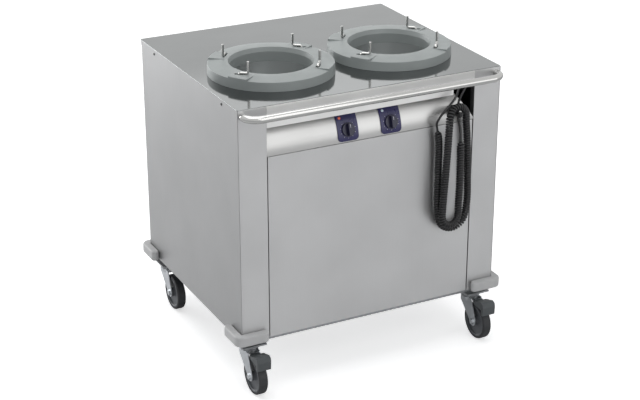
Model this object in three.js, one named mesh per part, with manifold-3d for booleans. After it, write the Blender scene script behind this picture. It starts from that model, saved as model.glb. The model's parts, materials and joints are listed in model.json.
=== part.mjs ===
// A mobile heated plate dispenser: a stainless steel cart on four castors, with two round wells in
// its worktop. Each well holds a stack of plates on a platform that springs keep at serving height.
// Millimetres, +Z up. The front, with the push rail and the controls, faces -Y, and X runs to the
// right as seen from the front. The origin is on the floor, under the middle of the cart.

import * as THREE from "three";
import { mergeVertices } from "three/addons/utils/BufferGeometryUtils.js";
import Module from "manifold-3d";

const wasm = await Module();
wasm.setup();

// ---------------------------------------------------------------- driving dimensions

// cabinet
const bodyWidth = 926;
const bodyDepth = 776;
const bodyHeight = 780;
const bodyClearance = 187;
const sheet = 1.5;
const sheetReturn = 22;
const worktopThickness = 2;
const worktopRearOverhang = 13;
const worktopRearLip = 24;
const worktopCornerRadius = 4;
const pillarWidth = 96;
const panelSideGap = 3;
const panelSetBack = 1;
const seam = 0.3;
const weld = 0.5;
const screwRadius = 5;
const screwHeight = 2.4;
const sideScrewInset = 115;
const sideScrewDrop = 16;
const rearScrewInset = 40;

// front apron and the notch where the lead comes out
const apronHeight = 72;
const apronReturn = 30;
const leadNotchWidth = 78;
const leadNotchDrop = 32;

// control fascia: a flat foot, then an arc that leans back under the apron
const fasciaGap = 2;
const fasciaFlat = 5;
const fasciaRadius = 116;
const fasciaLeanDeg = 56;
const fasciaDrop = 165;

// push rail
const railDiameter = 24;
const railStandOff = 48;
const railDropFromTop = 21.5;
const railSideInset = 16;
const railBendRadius = 42;

// wells and their plastic rings
const wellSpacing = 428;
const wellFrontInset = 287;
const wellRadius = 131;
const wellWall = 1.5;
const wellSlotWidth = 16;
const wellFlange = 14;
const ringOuterRadius = 204;
const ringSkirtTaper = 2;
const ringSkirtHeight = 30;
const ringCrestRadius = 137;
const ringCrestHeight = 36;
const ringBevelDrop = 15;
const ringWall = 4;
const ringFit = 0.5;
const ringHoleGap = 1.5;
const ringSpigot = 8;
const bossWidth = 68;
const bossInnerRadius = 142;
const bossDepth = 24;
const slotLength = 33;
const slotWidth = 13;
const slotDepth = 7;

// plate guides: cranked rods that swing over the well on a pivot in the boss
const guideRadius = 157;
const guideAngleDeg = 38;
const guideRod = 8;
const guideArm = 29;
const guideArmTurnDeg = 15;
const guideTop = 79;
const guideBend = 6;

// lift: platform, arms through the slots, and extension springs outside the well
const platformDrop = 60;
const platformThickness = 2;
const platformGap = 4;
const platformRim = 14;
const platformTravel = 420;
const carriageHeight = 200;
const liftArmWidth = 10;
const liftArmThickness = 5;
const liftArmReach = 19;
const postDiameter = 36;
const springDiameter = 15;
const springEye = 6;
const springHeadroom = 12;
const bracketThickness = 3;

// castors
const castorInsetX = 46;
const castorInsetY = 52;
const castorHeight = 165;
const castorTrail = 52;
const wheelDiameter = 125;
const tyreWidth = 30;
const tyreThickness = 8;
const hubWidth = 35;
const hubWeb = 14;
const hubBoss = 9;
const hubRim = 6;
const axleDiameter = 12;
const axleClearance = 0.5;
const axleHead = 6;
const forkPlate = 4;
const forkGap = 0.5;
const castorPlateX = 84;
const castorPlateY = 100;
const castorPlateThickness = 5;
const swivelHeadRadius = 29;
const swivelHeadHeight = 20;
const forkCrownHeight = 12;
const forkCrownRadius = 31;
const pedalWidth = 48;
const pedalReach = 118;

// chassis, floor pan and bumpers
const chassisTube = 34;
const chassisInset = 26;
const panUpstand = 30;
const bumperProjection = 27;
const bumperHeight = 35;
const bumperLeg = 86;
const bumperEdge = 6;

// controls
const bezelWidth = 72;
const bezelThickness = 3;
const bezelFoot = 4;
const bezelTop = 102;
const bezelCorner = 13;
const bezelOffsets = [-88, 64];
const knobDiameter = 45;
const knobSkirt = 6;
const knobHeight = 20;
const knobGripWidth = 13;
const knobRise = 40;
const knobShaft = 8;
const knobShaftLength = 18;
const lampDiameter = 9;
const lampRise = 78;
const lampSideStep = 23;

// lead: a curly cord hung in two loops over a peg
const cableDiameter = 7.5;
const coilDiameter = 25;
const curls = 100;
const stepsPerCurl = 8;
const cordSides = 5;
const leadStep = 11;
const pegDiameter = 15;
const pegX = 285;
const pegRise = 39.5;
const pegReach = 53;
const pegTip = 12;
const pegBracket = 6;
const recessFront = 47;
const recessBack = 150;
const recessHeight = 52;
const recessWall = 1.2;
const glandX = 305;
const glandZ = 929;
const glandLength = 33;
const plugX = 343;
const plugRadius = 18;
const plugFront = 61;

// ---------------------------------------------------------------- places worked out from them

const halfWidth = bodyWidth / 2;
const frontY = -bodyDepth / 2;
const rearY = bodyDepth / 2;
const worktopZ = bodyClearance + bodyHeight;
const worktopUnder = worktopZ - worktopThickness;
const panelTopZ = worktopUnder - seam;
const pillarInnerX = halfWidth - pillarWidth;
const fasciaBottomZ = worktopZ - fasciaDrop;
const wellY = frontY + wellFrontInset;
const panLowZ = castorHeight + chassisTube - weld;
const panTopZ = panLowZ + sheet;
const railFront = railStandOff + railDiameter / 2;
const pedalFront = pedalReach - castorInsetY;
const depthShift = (Math.max(railFront, pedalFront) - bumperProjection) / 2;
const wheelRadius = wheelDiameter / 2;

// ---------------------------------------------------------------- geometry helpers

const mergeTolerance = 1e-4;

function signedVolume(geometry) {
  const place = geometry.attributes.position;
  const index = geometry.index.array;
  const a = new THREE.Vector3();
  const b = new THREE.Vector3();
  const c = new THREE.Vector3();
  let volume = 0;
  for (let i = 0; i < index.length; i += 3) {
    a.fromBufferAttribute(place, index[i]);
    b.fromBufferAttribute(place, index[i + 1]);
    c.fromBufferAttribute(place, index[i + 2]);
    volume += a.dot(b.cross(c)) / 6;
  }
  return volume;
}

// Only positions, shared vertices merged, no collapsed faces, and faces pointing outwards.
function closed(geometry) {
  const bare = geometry.clone();
  bare.deleteAttribute("normal");
  bare.deleteAttribute("uv");
  const merged = mergeVertices(bare, mergeTolerance);
  const index = merged.index.array;
  const kept = [];
  for (let i = 0; i < index.length; i += 3) {
    const [a, b, c] = [index[i], index[i + 1], index[i + 2]];
    if (a !== b && b !== c && c !== a) {
      kept.push(a, b, c);
    }
  }
  merged.setIndex(kept);
  if (signedVolume(merged) < 0) {
    for (let i = 0; i < kept.length; i += 3) {
      [kept[i + 1], kept[i + 2]] = [kept[i + 2], kept[i + 1]];
    }
    merged.setIndex(kept);
  }
  return merged;
}

function toSolid(geometry) {
  const body = closed(geometry);
  const mesh = new wasm.Mesh({
    numProp: 3,
    vertProperties: new Float32Array(body.attributes.position.array),
    triVerts: new Uint32Array(body.index.array),
  });
  return new wasm.Manifold(mesh);
}

function fromSolid(solid) {
  const mesh = solid.getMesh();
  const geometry = new THREE.BufferGeometry();
  const places = new Float32Array(mesh.numVert * 3);
  for (let i = 0; i < mesh.numVert; i += 1) {
    for (let k = 0; k < 3; k += 1) {
      places[3 * i + k] = mesh.vertProperties[mesh.numProp * i + k];
    }
  }
  geometry.setAttribute("position", new THREE.BufferAttribute(places, 3));
  geometry.setIndex(Array.from(mesh.triVerts));
  return geometry;
}

function joined(...geometries) {
  const solids = geometries.map(toSolid);
  return fromSolid(solids.reduce((sum, next) => sum.add(next)));
}

function cut(geometry, ...tools) {
  const start = toSolid(geometry);
  return fromSolid(tools.map(toSolid).reduce((rest, tool) => rest.subtract(tool), start));
}

function common(geometry, other) {
  return fromSolid(toSolid(geometry).intersect(toSolid(other)));
}

function box(x0, x1, y0, y1, z0, z1) {
  const geometry = new THREE.BoxGeometry(x1 - x0, y1 - y0, z1 - z0);
  return geometry.translate((x0 + x1) / 2, (y0 + y1) / 2, (z0 + z1) / 2);
}

function outline(points) {
  return new THREE.Shape(points.map(([u, v]) => new THREE.Vector2(u, v)));
}

function extrude(shape, length, curveSegments = 6) {
  const options = { depth: length, steps: 1, bevelEnabled: false, curveSegments };
  return new THREE.ExtrudeGeometry(shape, options);
}

// A section drawn in (y, z), run along X from x0 to x1.
function alongX(shape, x0, x1, curveSegments) {
  const turn = new THREE.Matrix4().set(0, 0, 1, x0, 1, 0, 0, 0, 0, 1, 0, 0, 0, 0, 0, 1);
  return extrude(shape, x1 - x0, curveSegments).applyMatrix4(turn);
}

// A section drawn in (x, z), run along Y from y0 to y1.
function alongY(shape, y0, y1, curveSegments) {
  const turn = new THREE.Matrix4().set(1, 0, 0, 0, 0, 0, -1, y1, 0, 1, 0, 0, 0, 0, 0, 1);
  return extrude(shape, y1 - y0, curveSegments).applyMatrix4(turn);
}

// A section drawn in (x, y), run up from z0 to z1.
function alongZ(shape, z0, z1, curveSegments) {
  return extrude(shape, z1 - z0, curveSegments).translate(0, 0, z0);
}

// A section drawn in (radius, z), turned about the Z axis.
function turned(points, segments) {
  const profile = points.map(([r, z]) => new THREE.Vector2(r, z));
  return new THREE.LatheGeometry(profile, segments).rotateX(Math.PI / 2);
}

function rod(radius, z0, z1, segments) {
  return turned([[0, z0], [radius, z0], [radius, z1], [0, z1]], segments);
}

// Turns a piece made about the Z axis so that it lies along X.
function layAlongX(geometry) {
  return geometry.rotateY(Math.PI / 2);
}

// An outline in plan of a folded sheet: the web and the returns at its two ends.
function foldedSheet(length, leg, thickness) {
  return outline([
    [0, 0],
    [length, 0],
    [length, leg],
    [length - thickness, leg],
    [length - thickness, thickness],
    [thickness, thickness],
    [thickness, leg],
    [0, leg],
  ]);
}

function circle(radius, sides) {
  return Array.from({ length: sides }, (_, i) => {
    const angle = 2 * Math.PI * i / sides;
    return new THREE.Vector2(radius * Math.cos(angle), radius * Math.sin(angle));
  });
}

function roundedRectangle(x0, x1, y0, y1, radius) {
  const shape = new THREE.Shape();
  shape.moveTo(x0 + radius, y0);
  shape.lineTo(x1 - radius, y0);
  shape.absarc(x1 - radius, y0 + radius, radius, -Math.PI / 2, 0, false);
  shape.lineTo(x1, y1 - radius);
  shape.absarc(x1 - radius, y1 - radius, radius, 0, Math.PI / 2, false);
  shape.lineTo(x0 + radius, y1);
  shape.absarc(x0 + radius, y1 - radius, radius, Math.PI / 2, Math.PI, false);
  shape.lineTo(x0, y0 + radius);
  shape.absarc(x0 + radius, y0 + radius, radius, Math.PI, 1.5 * Math.PI, false);
  return shape;
}

// A bent tube follows straight runs with round bends between them.
class BentPath extends THREE.Curve {
  constructor(corners, bendRadius, bendSteps) {
    super();
    this.points = [corners[0].clone()];
    for (let i = 1; i < corners.length - 1; i += 1) {
      const back = corners[i - 1].clone().sub(corners[i]).normalize();
      const ahead = corners[i + 1].clone().sub(corners[i]).normalize();
      const halfAngle = back.angleTo(ahead) / 2;
      const tangentLength = bendRadius / Math.tan(halfAngle);
      const middle = back.clone().add(ahead).normalize();
      const centre = corners[i].clone().addScaledVector(middle, bendRadius / Math.sin(halfAngle));
      const from = corners[i].clone().addScaledVector(back, tangentLength).sub(centre);
      const to = corners[i].clone().addScaledVector(ahead, tangentLength).sub(centre);
      const sweep = from.angleTo(to);
      for (let k = 0; k <= bendSteps; k += 1) {
        const share = k / bendSteps;
        const spoke = from.clone().multiplyScalar(Math.sin((1 - share) * sweep));
        spoke.addScaledVector(to, Math.sin(share * sweep)).divideScalar(Math.sin(sweep));
        this.points.push(centre.clone().add(spoke));
      }
    }
    this.points.push(corners[corners.length - 1].clone());
    this.runs = this.points.length - 1;
  }

  getPoint(t) {
    const place = Math.min(Math.max(t, 0), 1) * this.runs;
    const i = Math.min(Math.floor(place), this.runs - 1);
    return this.points[i].clone().lerp(this.points[i + 1], place - i);
  }

  getTangent(t) {
    const i = Math.round(t * this.runs);
    const before = this.points[Math.max(i - 1, 0)];
    const here = this.points[i];
    const after = this.points[Math.min(i + 1, this.runs)];
    const tangent = new THREE.Vector3();
    if (i > 0) {
      tangent.add(here.clone().sub(before).normalize());
    }
    if (i < this.runs) {
      tangent.add(after.clone().sub(here).normalize());
    }
    return tangent.normalize();
  }

  // The steps of the tube fall on the corners of the path, not at equal distances.
  getUtoTmapping(u) {
    return u;
  }
}

function bentTube(corners, bendRadius, bendSteps, diameter, sides) {
  const section = new THREE.Shape();
  section.absarc(0, 0, diameter / 2, 0, 2 * Math.PI, false);
  const path = new BentPath(corners.map((c) => new THREE.Vector3(...c)), bendRadius, bendSteps);
  return new THREE.ExtrudeGeometry(section, {
    extrudePath: path,
    steps: path.runs,
    curveSegments: sides / 2,
    bevelEnabled: false,
  });
}

// ---------------------------------------------------------------- scene graph and finishes

const cart = new THREE.Group();
cart.position.y = depthShift;

const finishes = {
  brushedSteel: { color: 0xb9bbbd, roughness: 0.35, metalness: 1 },
  polishedSteel: { color: 0xc6c9cb, roughness: 0.12, metalness: 1 },
  galvanised: { color: 0x9ea2a6, roughness: 0.5, metalness: 1 },
  zinc: { color: 0xb4b8bb, roughness: 0.4, metalness: 1 },
  greyPlastic: { color: 0x969b9b, roughness: 0.45, metalness: 0 },
  bumperPlastic: { color: 0xafafaf, roughness: 0.6, metalness: 0 },
  hubPlastic: { color: 0x555a5e, roughness: 0.55, metalness: 0 },
  pedalPlastic: { color: 0x4b5052, roughness: 0.6, metalness: 0 },
  tyreRubber: { color: 0x2d2f31, roughness: 0.8, metalness: 0 },
  navyPlastic: { color: 0x25234f, roughness: 0.4, metalness: 0 },
  knobPlastic: { color: 0x1b1a3c, roughness: 0.45, metalness: 0 },
  leftLampLens: { color: 0xe0603a, roughness: 0.2, metalness: 0 },
  rightLampLens: { color: 0xc9d3dc, roughness: 0.2, metalness: 0 },
  blackPlastic: { color: 0x191919, roughness: 0.5, metalness: 0 },
  cableSheath: { color: 0x1c1c1e, roughness: 0.55, metalness: 0 },
};

function place(name, geometry, finish, parent = cart) {
  const material = new THREE.MeshStandardMaterial(finishes[finish]);
  const mesh = new THREE.Mesh(closed(geometry), material);
  mesh.name = name;
  parent.add(mesh);
  return mesh;
}

const sides = [
  { name: "left", sign: -1 },
  { name: "right", sign: 1 },
];
const ends = [
  { name: "front", sign: -1 },
  { name: "rear", sign: 1 },
];

// ---------------------------------------------------------------- chassis and floor pan

const headLow = castorHeight - castorPlateThickness - swivelHeadHeight;

// A castor's plate and the upper half of its swivel bearing, which stay with the chassis.
function castorMount() {
  const plate = box(-castorPlateX / 2, castorPlateX / 2, -castorPlateY / 2, castorPlateY / 2,
    castorHeight - castorPlateThickness, castorHeight + weld);
  const head = turned([
    [0, headLow], [swivelHeadRadius, headLow], [swivelHeadRadius, headLow + swivelHeadHeight / 2],
    [swivelHeadRadius - 7, castorHeight - weld], [0, castorHeight - weld],
  ], 14);
  return joined(plate, head);
}

function floorPan() {
  const x = halfWidth - sheet - seam;
  const front = frontY + panelSetBack + sheetReturn + seam;
  const rear = rearY - sheetReturn - seam;
  const high = panLowZ + panUpstand;
  return cut(
    box(-x, x, front, rear, panLowZ, high),
    box(-x + sheet, x - sheet, front + sheet, rear - sheet, panTopZ, high + sheet),
  );
}

function chassis() {
  const high = castorHeight + chassisTube;
  const outerX = halfWidth - chassisInset;
  const outerY = rearY - chassisInset;
  const frame = cut(
    box(-outerX, outerX, -outerY, outerY, castorHeight, high),
    box(-outerX + chassisTube, outerX - chassisTube, -outerY + chassisTube, outerY - chassisTube,
      castorHeight - chassisTube, high + chassisTube),
  );
  const crossTube = box(-chassisTube / 2, chassisTube / 2, -outerY + weld, outerY - weld,
    castorHeight, high);
  const mounts = [];
  for (const side of sides) {
    for (const end of ends) {
      const x = side.sign * (halfWidth - castorInsetX);
      mounts.push(castorMount().translate(x, end.sign * (rearY - castorInsetY), 0));
    }
  }
  return joined(frame, crossTube, floorPan(), ...mounts);
}

place("base_frame", chassis(), "galvanised");

// ---------------------------------------------------------------- cabinet sheets

// A round-headed screw, drawn about Z with its seat a little below zero so that it joins the sheet.
function screwHead() {
  return turned([
    [0, -weld], [screwRadius, -weld], [screwRadius, screwHeight / 3],
    [screwRadius / 2, screwHeight], [0, screwHeight],
  ], 6);
}

// Side panel: the web is the side of the cart, with a return behind the rear panel.
function sidePanel(sign) {
  const web = outline([
    [0, frontY],
    [sheet, frontY],
    [sheet, rearY - sheet],
    [sheetReturn, rearY - sheet],
    [sheetReturn, rearY],
    [0, rearY],
  ]);
  const panel = alongZ(web, bodyClearance, panelTopZ);
  if (sign > 0) {
    panel.scale(-1, 1, 1);
  }
  const screws = [frontY + sideScrewInset, rearY - sideScrewInset].map((y) => (
    screwHead().rotateY(sign * Math.PI / 2).translate(sign * halfWidth, y, worktopZ - sideScrewDrop)
  ));
  return joined(panel.translate(sign * halfWidth, 0, 0), ...screws);
}

// Front pillar: a channel, with its web in the plane of the front.
function frontPillar(sign) {
  const width = pillarWidth - sheet - seam;
  const section = foldedSheet(width, sheetReturn + panelSetBack, sheet);
  const channel = alongZ(section, bodyClearance, panelTopZ);
  const left = sign < 0 ? -halfWidth + sheet + seam : halfWidth - pillarWidth;
  return channel.translate(left, frontY, 0);
}

for (const side of sides) {
  place(`${side.name}_side_panel`, sidePanel(side.sign), "brushedSteel");
  place(`${side.name}_front_pillar`, frontPillar(side.sign), "brushedSteel");
}

function rearPanel() {
  const width = bodyWidth - 2 * (sheetReturn + panelSideGap);
  const tray = foldedSheet(width, sheetReturn, sheet);
  const panel = alongZ(tray, bodyClearance, panelTopZ).rotateZ(Math.PI);
  const screws = [];
  for (const side of sides) {
    for (const z of [bodyClearance + rearScrewInset, panelTopZ - rearScrewInset]) {
      const x = side.sign * (width / 2 - sheetReturn / 2);
      screws.push(screwHead().rotateX(-Math.PI / 2).translate(x, rearY, z));
    }
  }
  return joined(panel.translate(width / 2, rearY, 0), ...screws);
}

place("rear_panel", rearPanel(), "brushedSteel");

function frontPanel() {
  const width = 2 * (pillarInnerX - panelSideGap);
  const tray = foldedSheet(width, sheetReturn, sheet);
  const panel = alongZ(tray, bodyClearance, fasciaBottomZ - fasciaGap);
  return panel.translate(-width / 2, frontY + panelSetBack, 0);
}

place("front_panel", frontPanel(), "brushedSteel");

// Apron: the upright strip under the worktop's front edge, notched at its lower right for the lead.
function apron() {
  const low = worktopZ - apronHeight;
  const section = outline([
    [frontY, low],
    [frontY + apronReturn, low],
    [frontY + apronReturn, low + sheet],
    [frontY + sheet, low + sheet],
    [frontY + sheet, panelTopZ - sheet],
    [frontY + apronReturn, panelTopZ - sheet],
    [frontY + apronReturn, panelTopZ],
    [frontY, panelTopZ],
  ]);
  const strip = alongX(section, -pillarInnerX + seam, pillarInnerX - seam);
  const notch = box(pillarInnerX - leadNotchWidth, pillarInnerX, frontY - sheet,
    frontY + apronReturn + sheet, low - sheet, worktopZ - leadNotchDrop);
  return cut(strip, notch);
}

place("front_apron", apron(), "brushedSteel");

// ---------------------------------------------------------------- worktop

function worktop() {
  const rear = rearY + worktopRearOverhang;
  const plan = roundedRectangle(-halfWidth, halfWidth, frontY, rear, worktopCornerRadius);
  for (const side of sides) {
    const hole = circle(wellRadius + ringFit + ringWall + ringHoleGap, 32);
    hole.forEach((point) => point.add(new THREE.Vector2(side.sign * wellSpacing / 2, wellY)));
    plan.holes.push(new THREE.Path(hole));
  }
  const top = alongZ(plan, worktopUnder, worktopZ, 2);
  const lip = box(-halfWidth + worktopCornerRadius, halfWidth - worktopCornerRadius,
    rear - sheet, rear, worktopZ - worktopRearLip, worktopUnder + weld);
  return joined(top, lip);
}

place("worktop", worktop(), "polishedSteel");

// ---------------------------------------------------------------- push rail

function pushRail() {
  const x = halfWidth - railSideInset;
  const z = worktopZ - railDropFromTop;
  const back = frontY - seam;
  const front = frontY - railStandOff;
  const corners = [[-x, back, z], [-x, front, z], [x, front, z], [x, back, z]];
  return bentTube(corners, railBendRadius, 5, railDiameter, 12);
}

place("push_rail", pushRail(), "polishedSteel");

// ---------------------------------------------------------------- control fascia

// A point of the fascia's face, at a height along the face and a distance in front of it.
function faceAngle(rise) {
  return Math.max(0, rise - fasciaFlat) / fasciaRadius;
}

function facePoint(rise, proud) {
  const angle = faceAngle(rise);
  const y = frontY + panelSetBack + fasciaRadius * (1 - Math.cos(angle));
  const z = fasciaBottomZ + Math.min(rise, fasciaFlat) + fasciaRadius * Math.sin(angle);
  return [y - proud * Math.cos(angle), z + proud * Math.sin(angle)];
}

// A plate that follows the face between two heights, with its back and front at two distances.
function facePlate(low, high, back, front, x0, x1, steps) {
  const outer = [];
  const inner = [];
  for (let i = 0; i <= steps; i += 1) {
    const rise = low + (high - low) * i / steps;
    outer.push(facePoint(rise, front));
    inner.unshift(facePoint(rise, back));
  }
  return alongX(outline([...outer, ...inner]), x0, x1);
}

// A piece made about Z is set on the face at a height, with Z pointing straight out of it.
function onFace(geometry, x, rise, proud) {
  const [y, z] = facePoint(rise, proud);
  return geometry.rotateX(Math.PI / 2 - faceAngle(rise)).translate(x, y, z);
}

const fasciaTop = fasciaFlat + fasciaRadius * THREE.MathUtils.degToRad(fasciaLeanDeg);
const fasciaHalf = pillarInnerX - seam;

function fascia() {
  const skin = facePlate(0, fasciaTop, -sheet, 0, -fasciaHalf, fasciaHalf, 9);
  const foot = box(-fasciaHalf, fasciaHalf, frontY + panelSetBack + sheet / 2,
    frontY + panelSetBack + sheetReturn, fasciaBottomZ, fasciaBottomZ + sheet);
  const holes = [];
  for (const offset of bezelOffsets) {
    holes.push(onFace(rod(knobShaft / 2 + 2, -12, 12, 10), offset, knobRise, 0));
    holes.push(onFace(rod(lampDiameter / 2 + 1, -12, 12, 10), offset - lampSideStep, lampRise, 0));
  }
  return cut(joined(skin, foot), ...holes);
}

place("control_fascia", fascia(), "brushedSteel");

function bezel(offset) {
  const x0 = offset - bezelWidth / 2;
  const x1 = offset + bezelWidth / 2;
  const plate = facePlate(bezelFoot, bezelTop, seam, seam + bezelThickness, x0, x1, 7);
  const frame = roundedRectangle(x0, x1, fasciaBottomZ + bezelFoot, worktopZ, bezelCorner);
  const trimmed = common(plate, alongY(frame, frontY - 40, frontY + 80, 2));
  const shaftHole = onFace(rod(knobShaft / 2 + 1, -12, 12, 10), offset, knobRise, 0);
  const lampHole = onFace(rod(lampDiameter / 2 + 0.5, -12, 12, 10), offset - lampSideStep, lampRise, 0);
  return cut(trimmed, shaftHole, lampHole);
}

function knob() {
  const skirt = turned([
    [0, 0], [knobDiameter / 2, 0], [knobDiameter / 2, knobSkirt - 2],
    [knobDiameter / 2 - 2, knobSkirt], [0, knobSkirt],
  ], 20);
  const grip = box(-knobGripWidth / 2, knobGripWidth / 2, -knobDiameter / 2 + 3,
    knobDiameter / 2 - 3, knobSkirt / 2, knobHeight);
  return joined(skirt, grip, rod(knobShaft / 2, -knobShaftLength, knobSkirt / 2, 10));
}

function lamp() {
  const radius = lampDiameter / 2;
  return turned([[0, -6], [radius, -6], [radius, 5], [radius / 2, 6.5], [0, 6.5]], 10);
}

sides.forEach((side, i) => {
  const offset = bezelOffsets[i];
  place(`${side.name}_bezel`, bezel(offset), "navyPlastic");
  const dial = onFace(knob(), offset, knobRise, 2 * seam + bezelThickness);
  place(`${side.name}_knob`, dial, "knobPlastic");
  const lens = onFace(lamp(), offset - lampSideStep, lampRise, 0);
  place(`${side.name}_lamp`, lens, `${side.name}LampLens`);
});

// ---------------------------------------------------------------- wells, rings, lifts

function ringProfile() {
  const skirtTop = ringOuterRadius - ringSkirtTaper;
  const inner = wellRadius + ringFit;
  const points = [[ringOuterRadius, seam]];
  const domeSteps = 3;
  for (let i = 0; i <= domeSteps; i += 1) {
    const share = i / domeSteps;
    const rise = (ringCrestHeight - ringSkirtHeight) * Math.sin(share * Math.PI / 2);
    points.push([skirtTop + (ringCrestRadius - skirtTop) * share, ringSkirtHeight + rise]);
  }
  points.push([inner, ringCrestHeight - ringBevelDrop]);
  points.push([inner, ringFoot]);
  points.push([inner + ringWall, ringFoot]);
  points.push([inner + ringWall, ringCrestHeight - ringBevelDrop - ringWall]);
  points.push([ringCrestRadius + ringWall, ringCrestHeight - ringWall]);
  points.push([skirtTop - ringWall, ringSkirtHeight - ringWall]);
  points.push([ringOuterRadius - ringWall, seam]);
  points.push(points[0]);
  return points;
}

// The corners of the boss, its slot and the guide that pivots there, about the well's own axis.
function guidePlaces(quarter) {
  const mirrored = quarter % 2 === 1;
  const base = THREE.MathUtils.degToRad(guideAngleDeg);
  const angle = [base, Math.PI - base, Math.PI + base, -base][quarter];
  const pin = new THREE.Vector2(Math.cos(angle), Math.sin(angle)).multiplyScalar(guideRadius);
  const clockwise = angle - Math.PI / 2 + THREE.MathUtils.degToRad(mirrored ? 0 : guideArmTurnDeg);
  const arm = new THREE.Vector2(Math.cos(clockwise), Math.sin(clockwise)).multiplyScalar(guideArm);
  return { pin, pivot: pin.clone().add(arm), turn: clockwise };
}

function boss(quarter) {
  const { pin, pivot, turn } = guidePlaces(quarter);
  const middle = pin.clone().add(pivot).multiplyScalar(0.5).angle();
  const blank = roundedRectangle(bossInnerRadius, ringOuterRadius + 20,
    -bossWidth / 2, bossWidth / 2, 8);
  const block = alongZ(blank, ringCrestHeight - bossDepth, ringCrestHeight, 1).rotateZ(middle);
  const slot = roundedRectangle(-slotLength / 2, slotLength / 2, -slotWidth / 2, slotWidth / 2,
    slotWidth / 2 - 0.1);
  const recess = alongZ(slot, ringCrestHeight - slotDepth, ringCrestHeight + 5, 1);
  recess.rotateZ(turn).translate(pivot.x, pivot.y, 0);
  return { block, recess };
}

function plateRing() {
  const shell = turned(ringProfile(), 32);
  const skirt = rod(ringOuterRadius - ringSkirtTaper, seam, ringCrestHeight + 10, 32);
  let ring = toSolid(shell);
  const envelope = toSolid(skirt);
  const bosses = [0, 1, 2, 3].map(boss);
  for (const { block } of bosses) {
    ring = ring.add(toSolid(block).intersect(envelope));
  }
  for (const { recess } of bosses) {
    ring = ring.subtract(toSolid(recess));
  }
  return fromSolid(ring);
}

function guide(quarter) {
  const { pin, pivot } = guidePlaces(quarter);
  const armZ = ringCrestHeight + seam + guideRod / 2;
  const stubZ = ringCrestHeight - slotDepth + seam;
  const corners = [
    [pivot.x, pivot.y, stubZ],
    [pivot.x, pivot.y, armZ],
    [pin.x, pin.y, armZ],
    [pin.x, pin.y, guideTop],
  ];
  return bentTube(corners, guideBend, 1, guideRod, 8);
}

// The slots in the well, the lift's arms and its springs stand at the same angles.
const lifts = [
  { name: "rear", angle: Math.PI / 2 },
  { name: "front_left", angle: 7 * Math.PI / 6 },
  { name: "front_right", angle: 11 * Math.PI / 6 },
];
const platformTop = -platformDrop;
const armLow = platformTop - carriageHeight;
const ringFoot = -worktopThickness - ringSpigot;
const springBracket = ringFoot - springHeadroom;
const wellBottom = panTopZ + seam - worktopZ;
const wellOuter = wellRadius + wellWall;

function wellTube() {
  const wall = turned([
    [wellRadius, wellBottom], [wellOuter + wellFlange, wellBottom],
    [wellOuter + wellFlange, wellBottom + 2 * wellWall], [wellOuter, wellBottom + 2 * wellWall],
    [wellOuter, ringFoot - seam], [wellRadius, ringFoot - seam], [wellRadius, wellBottom],
  ], 28);
  const slotLow = armLow - platformTravel - springHeadroom;
  const slotHigh = armLow + liftArmThickness + springHeadroom;
  const slots = lifts.map(({ angle }) => {
    const blank = box(wellRadius - 20, wellOuter + 20, -wellSlotWidth / 2, wellSlotWidth / 2,
      slotLow, slotHigh);
    return blank.rotateZ(angle);
  });
  const brackets = lifts.map(({ angle }) => {
    const blank = box(wellOuter - 2 * wellWall, wellOuter + liftArmReach, -wellSlotWidth / 2,
      wellSlotWidth / 2, springBracket, springBracket + bracketThickness);
    return blank.rotateZ(angle);
  });
  const bore = rod(wellRadius, springBracket - 1, springBracket + bracketThickness + 1, 28);
  return cut(joined(wall, ...brackets), bore, ...slots);
}

// A rimmed disc on a post, with arms at its foot that reach out through the slots.
function platform() {
  const radius = wellRadius - platformGap;
  const disc = turned([
    [0, platformTop - platformThickness],
    [radius - platformThickness, platformTop - platformThickness],
    [radius - platformThickness, platformTop - platformRim],
    [radius, platformTop - platformRim],
    [radius, platformTop - platformThickness],
    [radius - platformThickness, platformTop],
    [0, platformTop],
  ], 24);
  const arms = lifts.map(({ angle }) => {
    const bar = box(0, wellOuter + liftArmReach, -liftArmWidth / 2, liftArmWidth / 2, armLow,
      armLow + liftArmThickness);
    return bar.rotateZ(angle);
  });
  const post = rod(postDiameter / 2, armLow, platformTop - platformThickness / 2, 12);
  return joined(disc, post, ...arms);
}

// A close-wound extension spring with an eye at each end, from a bracket down to an arm.
function liftSpring(angle) {
  const r = wellOuter + liftArmReach - springDiameter / 2 - 1;
  const low = armLow + liftArmThickness + seam;
  const high = springBracket - seam;
  const coil = [
    [0, low], [springEye / 2, low], [springDiameter / 2, low + springEye],
    [springDiameter / 2, high - springEye], [springEye / 2, high], [0, high],
  ];
  return turned(coil, 8).translate(r * Math.cos(angle), r * Math.sin(angle), 0);
}

const quarterNames = ["rear_right", "rear_left", "front_left", "front_right"];
for (const side of sides) {
  const well = new THREE.Group();
  well.position.set(side.sign * wellSpacing / 2, wellY, worktopZ);
  cart.add(well);
  place(`${side.name}_plate_ring`, plateRing(), "greyPlastic", well);
  place(`${side.name}_well_tube`, wellTube(), "brushedSteel", well);
  place(`${side.name}_platform`, platform(), "brushedSteel", well);
  for (const lift of lifts) {
    place(`${side.name}_lift_spring_${lift.name}`, liftSpring(lift.angle), "galvanised", well);
  }
  quarterNames.forEach((quarterName, quarter) => {
    place(`${side.name}_guide_${quarterName}`, guide(quarter), "polishedSteel", well);
  });
}

// ---------------------------------------------------------------- castors

// Each castor is drawn about its swivel axis, from the floor up, with its wheel trailing to -Y.
const wheelFacets = 20;
const legInside = hubWidth / 2 + forkGap;
const crownTop = headLow - seam;
const crownLow = crownTop - forkCrownHeight;

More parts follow.
